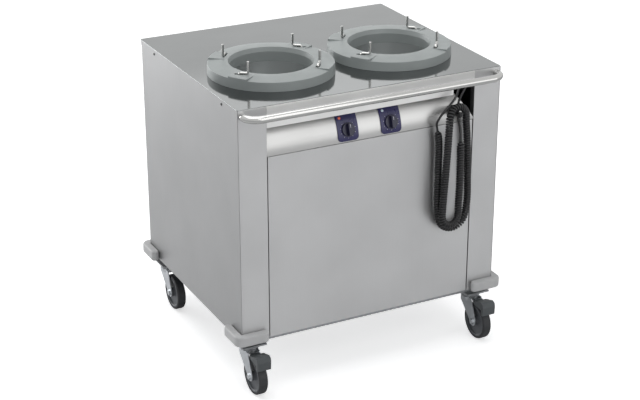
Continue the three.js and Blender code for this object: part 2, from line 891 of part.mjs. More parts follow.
function forkLeg(sign) {
  const tip = wheelRadius * 0.26;
  const shape = new THREE.Shape();
  shape.moveTo(forkCrownRadius - 5, crownTop);
  shape.lineTo(-forkCrownRadius - 9, crownTop);
  shape.lineTo(-castorTrail - tip, wheelRadius + 8);
  shape.absarc(-castorTrail, wheelRadius, tip, Math.PI, 1.9 * Math.PI, false);
  shape.lineTo(forkCrownRadius - 5, crownLow - 12);
  const leg = alongX(shape, 0, forkPlate, 3);
  return leg.translate(sign > 0 ? legInside : -legInside - forkPlate, 0, 0);
}

// The fork, with the axle bolt that is made fast through its legs.
function fork() {
  const crown = rod(forkCrownRadius, crownLow, crownTop, 16);
  const reach = legInside + forkPlate;
  const bolt = rod(axleDiameter / 2, -reach - weld, reach + weld, 10);
  const heads = [rod(axleDiameter * 0.85, -reach - axleHead, weld - reach, 6),
    rod(axleDiameter * 0.85, reach - weld, reach + axleHead, 6)];
  const axle = layAlongX(joined(bolt, ...heads)).translate(0, -castorTrail, wheelRadius);
  return joined(crown, forkLeg(-1), forkLeg(1), axle);
}

function hub() {
  const rim = wheelRadius - tyreThickness - seam;
  const bore = axleDiameter / 2 + axleClearance;
  const web = hubWeb / 2;
  const half = [
    [bore, hubWidth / 2], [bore + hubBoss, hubWidth / 2], [bore + hubBoss, web],
    [rim - hubRim, web], [rim, tyreWidth / 2 - 1],
  ];
  const profile = [...half, ...half.map(([r, x]) => [r, -x]).reverse(), half[0]];
  return layAlongX(turned(profile, wheelFacets)).translate(0, -castorTrail, wheelRadius);
}

function tyre() {
  const half = tyreWidth / 2;
  const inner = wheelRadius - tyreThickness;
  const profile = [
    [inner, -half], [wheelRadius - 4, -half], [wheelRadius, -half + 6],
    [wheelRadius, half - 6], [wheelRadius - 4, half], [inner, half], [inner, -half],
  ];
  return layAlongX(turned(profile, wheelFacets)).translate(0, -castorTrail, wheelRadius);
}

const pedalPivot = [-castorTrail + 3, crownTop - 6];

function brakePedal() {
  const [pivotY, pivotZ] = pedalPivot;
  const treadTop = pivotZ + 21;
  const toe = outline([
    [pivotY - 12, pivotZ + 8],
    [-pedalReach + 14, treadTop],
    [-pedalReach + 3, treadTop - 5],
    [-pedalReach, treadTop - 16],
    [-pedalReach + 2, treadTop - 45],
    [-pedalReach + 9, treadTop - 46],
    [-pedalReach + 12, pivotZ - 6],
    [pivotY - 12, pivotZ - 3],
  ]);
  const plate = alongX(toe, -pedalWidth / 2, pedalWidth / 2);
  const arm = box(-legInside + 4, legInside - 4, pivotY - 20, pivotY + 4, pivotZ - 4, pivotZ + 5);
  const pivot = layAlongX(rod(5, -legInside + seam, legInside - seam, 12));
  return joined(plate, arm, pivot.translate(0, pivotY, pivotZ));
}

for (const end of ends) {
  for (const side of sides) {
    const x = side.sign * (halfWidth - castorInsetX);
    const y = end.sign * (rearY - castorInsetY);
    const castor = new THREE.Group();
    castor.position.set(x, y, 0);
    cart.add(castor);
    const name = `${end.name}_${side.name}`;
    place(`${name}_fork`, fork(), "zinc", castor);
    place(`${name}_hub`, hub(), "hubPlastic", castor);
    place(`${name}_tyre`, tyre(), "tyreRubber", castor);
    if (end.sign < 0) {
      place(`${name}_brake_pedal`, brakePedal(), "pedalPlastic", castor);
    }
  }
}

// ---------------------------------------------------------------- corner bumpers

// One moulding wraps a corner of the cabinet: two legs with round ends and a round outer corner.
function cornerBumper(xSign, ySign) {
  const out = bumperProjection;
  const round = (out - seam) / 2;
  const shape = new THREE.Shape();
  shape.moveTo(-bumperLeg + round, seam);
  shape.lineTo(seam, seam);
  shape.lineTo(seam, -bumperLeg + round);
  shape.absarc(out - round, -bumperLeg + round, round, Math.PI, 2 * Math.PI, false);
  shape.absarc(0, 0, out, 0, Math.PI / 2, false);
  shape.absarc(-bumperLeg + round, out - round, round, Math.PI / 2, 1.5 * Math.PI, false);
  const options = {
    depth: bumperHeight - 2 * bumperEdge,
    steps: 1,
    curveSegments: 3,
    bevelEnabled: true,
    bevelThickness: bumperEdge,
    bevelSize: bumperEdge,
    bevelOffset: -bumperEdge,
    bevelSegments: 1,
  };
  const bumper = new THREE.ExtrudeGeometry(shape, options);
  bumper.translate(0, 0, bodyClearance - 2 + bumperEdge);
  bumper.scale(xSign, ySign, 1);
  return bumper.translate(xSign * halfWidth, ySign * rearY, 0);
}

for (const end of ends) {
  for (const side of sides) {
    place(`${end.name}_${side.name}_bumper`, cornerBumper(side.sign, end.sign), "bumperPlastic");
  }
}

// ---------------------------------------------------------------- lead recess, gland, plug, peg

const recessFloorZ = panelTopZ - recessHeight;

// A sheet tray behind the notch, open to the front, that holds the gland and the parked plug.
function leadRecess() {
  const x0 = pillarInnerX - leadNotchWidth;
  const x1 = pillarInnerX - seam;
  const front = frontY + recessFront;
  const rear = frontY + recessBack;
  const wall = recessWall;
  return cut(
    box(x0, x1, front, rear, recessFloorZ, panelTopZ),
    box(x0 + wall, x1 - wall, front - wall, rear - wall, recessFloorZ + wall, panelTopZ + wall),
  );
}

place("lead_recess", leadRecess(), "galvanised");

const glandBack = recessBack - recessWall - seam;
const cordStart = glandBack - glandLength - seam;
const plugZ = recessFloorZ + recessWall + seam + plugRadius;

function gland() {
  const profile = [
    [0, 0], [14, 0], [14, 4], [11, 5], [11, 14], [8, 15], [5.5, glandLength], [0, glandLength],
  ];
  return turned(profile, 10).rotateX(Math.PI / 2).translate(glandX, frontY + glandBack, glandZ);
}

place("cord_gland", gland(), "blackPlastic");

function plug() {
  const profile = [
    [0, 0], [5.5, 0], [8, 18], [14, 22], [plugRadius, 34], [plugRadius, 56], [0, 56],
  ];
  const pins = [-1, 1].map((sign) => rod(2.4, 55, 74, 6).translate(sign * 9.5, 0, 0));
  const whole = joined(turned(profile, 12), ...pins);
  return whole.rotateX(-Math.PI / 2).translate(plugX, frontY + plugFront + seam, plugZ);
}

place("plug", plug(), "blackPlastic");

function cordPeg() {
  const [y, z] = facePoint(pegRise, 2 * seam);
  const shelf = facePlate(pegRise - 17, pegRise + 17, seam, pegBracket, pegX - 13, pegX + 13, 3);
  const tipY = frontY - pegReach;
  const corners = [[pegX, y - pegBracket / 2, z], [pegX, tipY, z], [pegX, tipY, z + pegTip]];
  return joined(shelf, bentTube(corners, pegDiameter / 2 + 1, 2, pegDiameter, 10));
}

place("cord_peg", cordPeg(), "blackPlastic");

// ---------------------------------------------------------------- curly cord

// The cord's middle line: out of the gland and through the notch, down and up in a long loop, over
// the peg, down and up in a shorter loop in front of it, and back through the notch to the plug.
// Each point is [x, distance behind the front, z].
const cordRoute = [
  [glandX, cordStart, glandZ],
  [glandX, 60, glandZ],
  [glandX, 8, glandZ - 2],
  [297, -14, 918],
  [280, -28, 899],
  [252, -31, 870],
  [226, -30, 844],
  [214, -27, 821],
  [219, -23, 795],
  [226, -22, 757],
  [227, -22, 627],
  [229, -22, 517],
  [245, -22, 462],
  [284, -22, 444],
  [323, -22, 462],
  [339, -22, 517],
  [338, -22, 627],
  [331, -22, 757],
  [325, -23, 812],
  [320, -27, 843],
  [306, -30, 860],
  [286, -33, 865],
  [266, -37, 860],
  [252, -44, 843],
  [247, -49, 812],
  [243, -50, 737],
  [236, -50, 617],
  [231, -50, 529],
  [231, -50, 499],
  [238, -50, 481],
  [252, -50, 471],
  [269, -50, 471],
  [283, -50, 481],
  [290, -50, 499],
  [290, -50, 529],
  [292, -50, 617],
  [291, -50, 707],
  [291, -48, 757],
  [297, -34, 789],
  [301, -14, 815],
  [302, -9, 842],
  [303, -8, 867],
  [312, -8, 892],
  [331, -2, 917],
  [342, 20, plugZ - 2],
  [plugX, 40, plugZ],
  [plugX, plugFront, plugZ],
];
const coilFromPoint = 8;
const coilToPoint = 37;

const route = new THREE.CatmullRomCurve3(
  cordRoute.map(([x, y, z]) => new THREE.Vector3(x, frontY + y, z)),
);
route.arcLengthDivisions = 4000;

function shareOfLength(pointIndex) {
  const lengths = route.getLengths(route.arcLengthDivisions);
  const step = Math.round(route.arcLengthDivisions * pointIndex / (cordRoute.length - 1));
  return lengths[step] / lengths[lengths.length - 1];
}

// The helix winds about the route between two of its points, and fades out over one curl.
function cordPoints(stepsEach) {
  const coilFrom = shareOfLength(coilFromPoint);
  const coilTo = shareOfLength(coilToPoint);
  const frameCount = 3000;
  const frames = route.computeFrenetFrames(frameCount, false);
  const radius = (coilDiameter - cableDiameter) / 2;
  const points = [];
  const leadInSteps = Math.round(coilFrom * route.getLength() / leadStep);
  for (let i = 0; i < leadInSteps; i += 1) {
    points.push(route.getPointAt(coilFrom * i / leadInSteps));
  }
  const coilSteps = curls * stepsEach;
  for (let i = 0; i <= coilSteps; i += 1) {
    const share = coilFrom + (coilTo - coilFrom) * i / coilSteps;
    const fade = Math.min(1, i / stepsEach, (coilSteps - i) / stepsEach);
    const frame = Math.round(share * frameCount);
    const turn = 2 * Math.PI * i / stepsEach;
    const point = route.getPointAt(share);
    point.addScaledVector(frames.normals[frame], radius * fade * Math.cos(turn));
    point.addScaledVector(frames.binormals[frame], radius * fade * Math.sin(turn));
    points.push(point);
  }
  const leadOutSteps = Math.round((1 - coilTo) * route.getLength() / leadStep);
  for (let i = 1; i <= leadOutSteps; i += 1) {
    points.push(route.getPointAt(coilTo + (1 - coilTo) * i / leadOutSteps));
  }
  return points;
}

// One unbroken tube along a list of points, with flat ends.
function sweep(points, radius, sideCount) {
  const places = [];
  const index = [];
  const last = points.length - 1;
  let normal = new THREE.Vector3(0, 0, 1);
  points.forEach((point, i) => {
    const ahead = points[Math.min(i + 1, last)];
    const tangent = ahead.clone().sub(points[Math.max(i - 1, 0)]).normalize();
    normal = normal.clone().addScaledVector(tangent, -normal.dot(tangent)).normalize();
    const binormal = tangent.clone().cross(normal);
    for (let k = 0; k < sideCount; k += 1) {
      const turn = 2 * Math.PI * k / sideCount;
      const corner = point.clone();
      corner.addScaledVector(normal, radius * Math.cos(turn));
      corner.addScaledVector(binormal, radius * Math.sin(turn));
      places.push(corner.x, corner.y, corner.z);
    }
  });
  for (let i = 0; i < last; i += 1) {
    for (let k = 0; k < sideCount; k += 1) {
      const a = i * sideCount + k;
      const b = i * sideCount + (k + 1) % sideCount;
      index.push(a, b, b + sideCount, a, b + sideCount, a + sideCount);
    }
  }
  for (let k = 1; k < sideCount - 1; k += 1) {
    index.push(0, k + 1, k);
    index.push(last * sideCount, last * sideCount + k, last * sideCount + k + 1);
  }
  const geometry = new THREE.BufferGeometry();
  geometry.setAttribute("position", new THREE.Float32BufferAttribute(places, 3));
  geometry.setIndex(index);
  return geometry;
}

function lengthAlong(points) {
  const along = [0];
  for (let i = 1; i < points.length; i += 1) {
    along.push(along[i - 1] + points[i].distanceTo(points[i - 1]));
  }
  return along;
}

// The least clear distance between stretches that aren't neighbours along the cord.
function leastGap(points, diameter) {
  const along = lengthAlong(points);
  const apart = 4 * diameter;
  let least = Infinity;
  for (let i = 0; i < points.length; i += 1) {
    for (let j = i + 1; j < points.length; j += 1) {
      if (along[j] - along[i] > apart && points[i].distanceToSquared(points[j]) < least) {
        least = points[i].distanceToSquared(points[j]);
      }
    }
  }
  return Math.sqrt(least) - diameter;
}

place("curly_cord", sweep(cordPoints(stepsPerCurl), cableDiameter / 2, cordSides), "cableSheath");
const fineCord = cordPoints(4 * stepsPerCurl);
console.log(`cord: ${lengthAlong(fineCord).pop().toFixed(0)} mm of cable in ${curls} curls, `
  + `least gap to itself ${leastGap(fineCord, cableDiameter).toFixed(2)} mm`);

export default cart;
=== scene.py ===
# %% [markdown]
# # A mobile plate dispenser
# A catering cart of folded stainless steel. Two round wells in its worktop hold stacks of plates on
# sprung platforms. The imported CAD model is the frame: every piece made here is in metres, in the
# frame's own coordinates, and rides on one of its bodies.

# %% Load the frame
import json
import math

import bmesh
import bpy
from mathutils import Matrix, Quaternion, Vector

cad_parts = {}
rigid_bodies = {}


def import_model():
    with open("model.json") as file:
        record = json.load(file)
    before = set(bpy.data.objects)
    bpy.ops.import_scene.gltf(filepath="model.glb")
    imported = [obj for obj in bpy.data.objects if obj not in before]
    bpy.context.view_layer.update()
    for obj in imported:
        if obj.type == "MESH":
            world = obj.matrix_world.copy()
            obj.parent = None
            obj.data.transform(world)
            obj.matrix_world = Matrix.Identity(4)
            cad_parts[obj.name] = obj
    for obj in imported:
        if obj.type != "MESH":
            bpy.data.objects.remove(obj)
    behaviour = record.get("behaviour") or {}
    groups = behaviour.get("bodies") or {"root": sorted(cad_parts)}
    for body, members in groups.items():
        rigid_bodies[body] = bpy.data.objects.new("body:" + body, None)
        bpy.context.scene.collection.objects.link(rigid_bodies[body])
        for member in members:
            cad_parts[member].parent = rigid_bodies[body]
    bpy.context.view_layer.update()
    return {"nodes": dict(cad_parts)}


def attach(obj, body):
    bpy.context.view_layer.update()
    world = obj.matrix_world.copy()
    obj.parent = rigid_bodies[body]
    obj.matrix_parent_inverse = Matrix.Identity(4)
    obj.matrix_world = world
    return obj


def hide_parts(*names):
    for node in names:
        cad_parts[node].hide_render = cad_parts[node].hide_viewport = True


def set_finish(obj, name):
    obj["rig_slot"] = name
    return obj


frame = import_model()
scene = bpy.context.scene

# %% [markdown]
# ## Sizes
# The cabinet is measured from its front face, and the wells, dials and castors from their own
# centres. These are the part's driving sizes, in metres, so that a new piece lands on the CAD solid.
# Pieces that would touch are kept a hair's breadth apart by the gap.

# %% Driving sizes
half_width = 0.463
front_y = -0.3685
rear_y = 0.4075
worktop_z = 0.967
well_x = 0.214
well_y = -0.0815
castor_x = 0.417
castor_front_y = -0.3165
castor_rear_y = 0.3555
castor_trail = 0.052
wheel_radius = 0.0625
gap = 0.0003
side_signs = {"left": -1, "right": 1}
print("cabinet, width and depth:", 2 * half_width, rear_y - front_y)

# %% [markdown]
# ## Camera
# The photograph is taken from the left front, well above the worktop, with a long lens. The lens
# is worked out from a focal length in the photograph's own pixels.

# %% Camera
photo_width = 640
focal_px = 1606.6
sensor_width = 36.0
azimuth = math.radians(-27.105)
elevation = math.radians(23.301)
camera_place = (-2.2814, -4.4604, 2.6056)
camera_data = bpy.data.cameras.new("camera")
camera_data.sensor_width = sensor_width
camera_data.lens = sensor_width * focal_px / photo_width
camera_data.clip_end = 60
camera = bpy.data.objects.new("camera", camera_data)
scene.collection.objects.link(camera)
scene.camera = camera
towards_camera = Vector((math.sin(azimuth) * math.cos(elevation),
                         -math.cos(azimuth) * math.cos(elevation), math.sin(elevation)))
camera.location = camera_place
camera.rotation_mode = "QUATERNION"
camera.rotation_quaternion = (-towards_camera).to_track_quat("-Z", "Y")
print("lens in mm:", round(camera_data.lens, 1))

# %% [markdown]
# ## Helpers for finishes
# A finish is a Principled shader whose roughness, colour and bump come from noise on Object
# coordinates, so the pattern stays on its piece when the piece moves. Nearly all of a noise lies
# between 0.3 and 0.7, so that range is stretched over the two looks that it mixes.

# %% Finish helpers
noise_low = 0.3
noise_high = 0.7
frame_materials = len(bpy.data.materials)


class Finish:
    """A material with its shader, and short ways to add noise to it."""

    def __init__(self, name, colour, roughness, metallic=0.0):
        self.material = bpy.data.materials.new(name)
        self.material.use_nodes = True
        self.nodes = self.material.node_tree.nodes
        self.links = self.material.node_tree.links
        self.shader = self.nodes["Principled BSDF"]
        self.shader.inputs["Base Color"].default_value = (*colour, 1)
        self.shader.inputs["Roughness"].default_value = roughness
        self.shader.inputs["Metallic"].default_value = metallic
        self.coordinates = self.nodes.new("ShaderNodeTexCoord")

    def noise(self, scale, stretch=(1, 1, 1), detail=4):
        mapping = self.nodes.new("ShaderNodeMapping")
        mapping.inputs["Scale"].default_value = stretch
        noise = self.nodes.new("ShaderNodeTexNoise")
        noise.inputs["Scale"].default_value = scale
        noise.inputs["Detail"].default_value = detail
        self.links.new(self.coordinates.outputs["Object"], mapping.inputs["Vector"])
        self.links.new(mapping.outputs["Vector"], noise.inputs["Vector"])
        return noise.outputs["Fac"]

    def spread(self, value, low, high):
        node = self.nodes.new("ShaderNodeMapRange")
        node.inputs["From Min"].default_value = noise_low
        node.inputs["From Max"].default_value = noise_high
        node.inputs["To Min"].default_value = low
        node.inputs["To Max"].default_value = high
        self.links.new(value, node.inputs["Value"])
        return node.outputs["Result"]

    def roughen(self, value, low, high):
        self.links.new(self.spread(value, low, high), self.shader.inputs["Roughness"])

    def tint(self, value, first, second):
        mix = self.nodes.new("ShaderNodeMix")
        mix.data_type = "RGBA"
        mix.inputs["A"].default_value = (*first, 1)
        mix.inputs["B"].default_value = (*second, 1)
        self.links.new(self.spread(value, 0, 1), mix.inputs["Factor"])
        self.links.new(mix.outputs["Result"], self.shader.inputs["Base Color"])

    def bump(self, value, strength, distance):
        node = self.nodes.new("ShaderNodeBump")
        node.inputs["Strength"].default_value = strength
        node.inputs["Distance"].default_value = distance
        self.links.new(value, node.inputs["Height"])
        self.links.new(node.outputs["Normal"], self.shader.inputs["Normal"])


def finishes_made():
    return len(bpy.data.materials) - frame_materials


print("materials that came with the frame:", frame_materials)

# %% [markdown]
# ## Steel finishes
# The cabinet is satin stainless sheet: a metal with a fairly rough surface and fine upright lines.
# Stretching a noise along one direction gives those lines. The worktop and the rail are brighter,
# so their roughness is low and the worktop mirrors the rings. The tops of the platforms are duller.
# The sides and the fascia get darker copies of the front's colour, which paint shade, and the strip
# under the rail gets a much lighter one, which paints light.

# %% Steel finishes
def sheet_steel(name, colour, low, high, stretch):
    finish = Finish(name, colour, (low + high) / 2, metallic=1.0)
    lines = finish.noise(6, stretch, detail=3)
    smudge = finish.noise(5, detail=2)
    finish.roughen(lines, low, high)
    darker = tuple(c * 0.93 for c in colour)
    finish.tint(smudge, darker, colour)
    finish.bump(lines, strength=0.05, distance=0.0002)
    return finish.material


upright_lines = (90, 90, 1.2)
level_lines = (1.2, 90, 90)
no_lines = (1, 1, 1)
# The sides are the same satin steel as the front, with a darker colour that paints shade.
side_steel_painted_shade = sheet_steel("satin_steel_side_painted_shade", (0.38, 0.382, 0.385), 0.38, 0.44, upright_lines)
front_steel = sheet_steel("satin_steel_front", (0.56, 0.562, 0.565), 0.38, 0.44, upright_lines)
# The fascia is the same satin steel, with a darker colour that paints shade.
fascia_steel_painted_shade = sheet_steel("satin_steel_fascia_painted_shade", (0.47, 0.47, 0.465), 0.36, 0.40, no_lines)
worktop_steel = sheet_steel("bright_steel_worktop", (0.245, 0.256, 0.256), 0.07, 0.11, level_lines)
rail_steel = sheet_steel("bright_steel_rail", (0.50, 0.50, 0.49), 0.14, 0.18, no_lines)
well_steel = sheet_steel("well_steel", (0.52, 0.54, 0.54), 0.40, 0.46, no_lines)
platform_steel = sheet_steel("platform_steel", (0.27, 0.28, 0.28), 0.28, 0.34, no_lines)
# The strip under the rail is the same satin steel, with a much lighter colour that paints light over
# the rail's shade.
apron_steel_painted_light = sheet_steel("satin_steel_apron_painted_light", (0.80, 0.80, 0.79), 0.36, 0.42, no_lines)
print("sheet finishes:", finishes_made())

# %% [markdown]
# ## Plated and dark finishes
# The forks and springs are bright zinc. The hidden chassis is galvanised, with the soft crystals
# that hot zinc leaves. The galvanised recess gets a near-black finish, which paints the shade
# inside it, and the screws are nearly black.

# %% Plated and dark finishes
zinc = Finish("bright_zinc", (0.54, 0.56, 0.57), 0.36, metallic=1.0)
zinc.roughen(zinc.noise(60), 0.30, 0.42)
zinc.tint(zinc.noise(25, detail=2), (0.49, 0.51, 0.53), (0.59, 0.61, 0.63))

galvanised = Finish("galvanised_steel", (0.34, 0.35, 0.36), 0.5, metallic=1.0)
galvanised.roughen(galvanised.noise(90, detail=1), 0.42, 0.6)
galvanised.tint(galvanised.noise(70, detail=1), (0.28, 0.29, 0.30), (0.38, 0.39, 0.40))

# Near black: on the recess tray it paints the shade in the gap under the rail, and the screw heads
# are black.
recess_shade_and_black_screws = Finish("recess_shade_and_black_screws", (0.030, 0.030, 0.032), 0.55)
recess_shade_and_black_screws.roughen(recess_shade_and_black_screws.noise(40), 0.48, 0.62)
recess_shade_and_black_screws.tint(recess_shade_and_black_screws.noise(18, detail=2), (0.025, 0.025, 0.027), (0.036, 0.036, 0.038))
print("with plated and dark ones:", finishes_made())

# %% [markdown]
# ## Moulded finishes
# Mouldings are rougher and duller than paint. A fine grain in the bump breaks up their highlight,
# and a broad, faint change of tone keeps a large one from looking like flat colour.

# %% Moulded finishes
def moulding(name, colour, roughness, grain=700, depth=0.06, change=0.06):
    finish = Finish(name, colour, roughness)
    darker = tuple(c * (1 - change) for c in colour)
    lighter = tuple(c * (1 + change) for c in colour)
    finish.tint(finish.noise(12, detail=2), darker, lighter)
    finish.roughen(finish.noise(40, detail=2), roughness - 0.05, roughness + 0.05)
    finish.bump(finish.noise(grain, detail=1), strength=depth, distance=0.0003)
    return finish.material


ring_plastic = moulding("grey_ring_plastic", (0.31, 0.335, 0.33), 0.42)
bumper_plastic = moulding("bumper_plastic", (0.53, 0.53, 0.53), 0.55)
tyre_rubber = moulding("tyre_rubber", (0.024, 0.025, 0.028), 0.62, grain=900, depth=0.12)
hub_plastic = moulding("hub_plastic", (0.112, 0.118, 0.128), 0.48)
pedal_plastic = moulding("pedal_plastic", (0.070, 0.078, 0.082), 0.55)
bezel_plastic = moulding("navy_bezel_plastic", (0.022, 0.020, 0.100), 0.30, change=0.03)
knob_plastic = moulding("knob_plastic", (0.008, 0.008, 0.032), 0.35, change=0.03)
mark_ink = moulding("white_marks", (0.75, 0.75, 0.80), 0.5)
black_plastic = moulding("black_plastic", (0.010, 0.010, 0.011), 0.45)
cable_black = moulding("cable_sheath", (0.009, 0.009, 0.010), 0.42, grain=1500, change=0.1)
print("with mouldings:", finishes_made())

# %% [markdown]
# ## Lamp lenses
# A lens is glossy plastic with a clear coat. It glows a little, so that it reads as a lamp.

# %% Lamp lenses
def lens(name, colour, glow):
    finish = Finish(name, colour, 0.12)
    finish.shader.inputs["Coat Weight"].default_value = 0.6
    finish.shader.inputs["Emission Color"].default_value = (*colour, 1)
    finish.shader.inputs["Emission Strength"].default_value = glow
    return finish.material


orange_lens = lens("orange_lamp_lens", (0.85, 0.16, 0.08), glow=0.15)
clear_lens = lens("clear_lamp_lens", (0.55, 0.66, 0.75), glow=0.1)
print("all finishes:", finishes_made())

# %% [markdown]
# ## The curly lead
# A curly mains lead is a round cable wound in a helix and set by heat. It leaves its gland straight,
# hangs in a long loop, crosses the peg, hangs in a shorter loop in front of the first, and runs
# straight again to the plug parked in the recess. Its middle line goes through chosen points. Each
# point's Y is counted from the cabinet's front face, so a negative one is in front of it.

# %% Route of the lead
cable_diameter = 0.0075
coil_diameter = 0.025
curls = 185
gland_x = 0.305
gland_z = 0.929
cord_start = 0.1152
plug_x = 0.343
plug_z = 0.9322
plug_front = 0.061
lead_route = [
    (gland_x, cord_start, gland_z), (gland_x, 0.060, gland_z), (gland_x, 0.008, gland_z - 0.002),
    (0.297, -0.014, 0.918), (0.280, -0.028, 0.899), (0.252, -0.031, 0.870),
    (0.226, -0.030, 0.844), (0.214, -0.027, 0.821), (0.219, -0.023, 0.795),
    (0.226, -0.022, 0.757), (0.227, -0.022, 0.627), (0.229, -0.022, 0.517),
    (0.245, -0.022, 0.462), (0.284, -0.022, 0.444), (0.323, -0.022, 0.462),
    (0.339, -0.022, 0.517), (0.338, -0.022, 0.627), (0.331, -0.022, 0.757),
    (0.325, -0.023, 0.812), (0.320, -0.027, 0.843), (0.306, -0.030, 0.860),
    (0.286, -0.033, 0.865), (0.266, -0.037, 0.860), (0.252, -0.044, 0.843),
    (0.247, -0.049, 0.812), (0.243, -0.050, 0.737), (0.236, -0.050, 0.617),
    (0.231, -0.050, 0.529), (0.231, -0.050, 0.499), (0.238, -0.050, 0.481),
    (0.252, -0.050, 0.471), (0.269, -0.050, 0.471), (0.283, -0.050, 0.481),
    (0.290, -0.050, 0.499), (0.290, -0.050, 0.529), (0.292, -0.050, 0.617),
    (0.291, -0.050, 0.707), (0.291, -0.048, 0.757), (0.297, -0.034, 0.789),
    (0.301, -0.014, 0.815), (0.302, -0.009, 0.842), (0.303, -0.008, 0.867),
    (0.312, -0.008, 0.892), (0.331, -0.002, 0.917), (0.342, 0.020, plug_z - 0.002),
    (plug_x, 0.040, plug_z), (plug_x, plug_front, plug_z),
]
coil_from_point = 8
coil_to_point = 37
print("points on the route:", len(lead_route))

# %% [markdown]
# ## Middle line
# A centripetal Catmull-Rom curve passes through every chosen point and makes no loops where two
# of them are close together, which other splines can.

# %% Middle line
def smooth_line(points, steps_each):
    """Points on the centripetal Catmull-Rom curve through the given ones."""
    points = [Vector(p) for p in points]
    ends = [points[0] * 2 - points[1]] + points + [points[-1] * 2 - points[-2]]
    line = []
    for p0, p1, p2, p3 in zip(ends, ends[1:], ends[2:], ends[3:]):
        spans = ((p0, p1), (p1, p2), (p2, p3))
        t01, t12, t23 = (max((b - a).length, 1e-6) ** 0.5 for a, b in spans)
        m1 = ((p1 - p0) / t01 - (p2 - p0) / (t01 + t12) + (p2 - p1) / t12) * t12
        m2 = ((p2 - p1) / t12 - (p3 - p1) / (t12 + t23) + (p3 - p2) / t23) * t12
        for i in range(steps_each):
            s = i / steps_each
            line.append(p1 * (2 * s**3 - 3 * s**2 + 1) + m1 * (s**3 - 2 * s**2 + s)
                        + p2 * (3 * s**2 - 2 * s**3) + m2 * (s**3 - s**2))
    return line + [points[-1]]


steps_per_point = 60
lead_middle = smooth_line([(x, front_y + y, z) for x, y, z in lead_route], steps_per_point)
print("points on the middle line:", len(lead_middle))

# %% [markdown]
# ## Winding the coil
# The cable turns about the middle line on a spoke that is carried along without twisting. The
# spoke grows smoothly from nothing over the first two curls and shrinks again over the last two.

# %% Winding the coil
steps_per_curl = 20
curls_to_grow = 2
straight_step = 0.004
close_by = 0.002


def distances_along(line):
    along = [0.0]
    for a, b in zip(line, line[1:]):
        along.append(along[-1] + (b - a).length)
    return along


def wound_lead(middle):
    along = distances_along(middle)
    start = along[coil_from_point * steps_per_point]
    length = along[coil_to_point * steps_per_point] - start
    radius = (coil_diameter - cable_diameter) / 2
    step = length / (curls * steps_per_curl)
    way = (middle[1] - middle[0]).normalized()
    normal = Vector((0, 0, 1))
    points = []
    wanted = 0.0
    for i in range(len(middle) - 1):
        new_way = (middle[i + 1] - middle[i]).normalized()
        normal = way.rotation_difference(new_way) @ normal
        way = new_way
        while wanted <= along[i + 1]:
            share = (wanted - along[i]) / max(along[i + 1] - along[i], 1e-9)
            turns = (wanted - start) / length * curls
            grown = max(0.0, min(1.0, turns / curls_to_grow, (curls - turns) / curls_to_grow))
            grown = grown * grown * (3 - 2 * grown)
            spoke = Quaternion(way, math.tau * turns) @ normal
            points.append(middle[i].lerp(middle[i + 1], share) + spoke * radius * grown)
            coiled = start - close_by < wanted < start + length
            wanted += step if coiled else straight_step
    if (points[-1] - middle[-1]).length < close_by:
        points.pop()
    return points + [middle[-1]]


lead_points = wound_lead(lead_middle)

# %% [markdown]
# ## The cable
# The wound line becomes a curve with a round bevel, which stays a cord and not a mesh.

# %% Cable
lead_curve = bpy.data.curves.new("curly_lead", "CURVE")
lead_curve.dimensions = "3D"
lead_curve.bevel_depth = cable_diameter / 2
lead_curve.bevel_resolution = 3
lead_curve.use_fill_caps = True
spline = lead_curve.splines.new("POLY")
spline.points.add(len(lead_points) - 1)
for spline_point, place in zip(spline.points, lead_points):
    spline_point.co = (*place, 1)
lead_curve.materials.append(cable_black)
curly_lead = bpy.data.objects.new("curly_lead", lead_curve)
scene.collection.objects.link(curly_lead)
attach(curly_lead, "cabinet")
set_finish(curly_lead, "cable_sheath")
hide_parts("curly_cord")
print("cable points:", len(spline.points))

# %% [markdown]
# ## Turned shapes
# Anything round is a half section of radii and heights that is spun about an axis. It is made at the
# origin, moved to its place in its mesh, and joined with the shapes that belong to the same piece.

# %% Turned shapes
def at(x, y, z):
    return Matrix.Translation((x, y, z))


def turned(degrees, axis):
    return Matrix.Rotation(math.radians(degrees), 4, axis)


def spun(section, steps):
    """A closed section of (radius, height) points, turned once about the Z axis."""
    bm = bmesh.new()
    verts = [bm.verts.new((r, 0, z)) for r, z in section]
    edges = [bm.edges.new((a, b)) for a, b in zip(verts, verts[1:])]
    if section[0][0] > 0 or section[-1][0] > 0:
        edges.append(bm.edges.new((verts[-1], verts[0])))
    bmesh.ops.spin(bm, geom=verts + edges, cent=(0, 0, 0), axis=(0, 0, 1), dvec=(0, 0, 0),
                   angle=math.tau, steps=steps, use_merge=True, use_duplicate=False)
    bmesh.ops.remove_doubles(bm, verts=bm.verts, dist=1e-6)
    bmesh.ops.recalc_face_normals(bm, faces=bm.faces)
    return bm


def moved(bm, matrix):
    bmesh.ops.transform(bm, matrix=matrix, verts=bm.verts)
    if matrix.determinant() < 0:
        bmesh.ops.reverse_faces(bm, faces=bm.faces)
    return bm


def together(*parts):
    """Several shapes in one mesh."""
    whole = bmesh.new()
    for part in parts:
        mesh = bpy.data.meshes.new("part")
        part.to_mesh(mesh)
        part.free()
        whole.from_mesh(mesh)
        bpy.data.meshes.remove(mesh)
    return whole


# %% [markdown]
# ## A finished piece
# Every piece is shaded smooth up to an angle, so that rounds look round and corners stay crisp.
# A Weighted Normal modifier keeps the large faces flat next to their bevels. Then the piece is
# told which body it rides on and which finish it has, and the CAD nodes that it replaces are hidden.

# %% A finished piece
smooth_up_to = 35


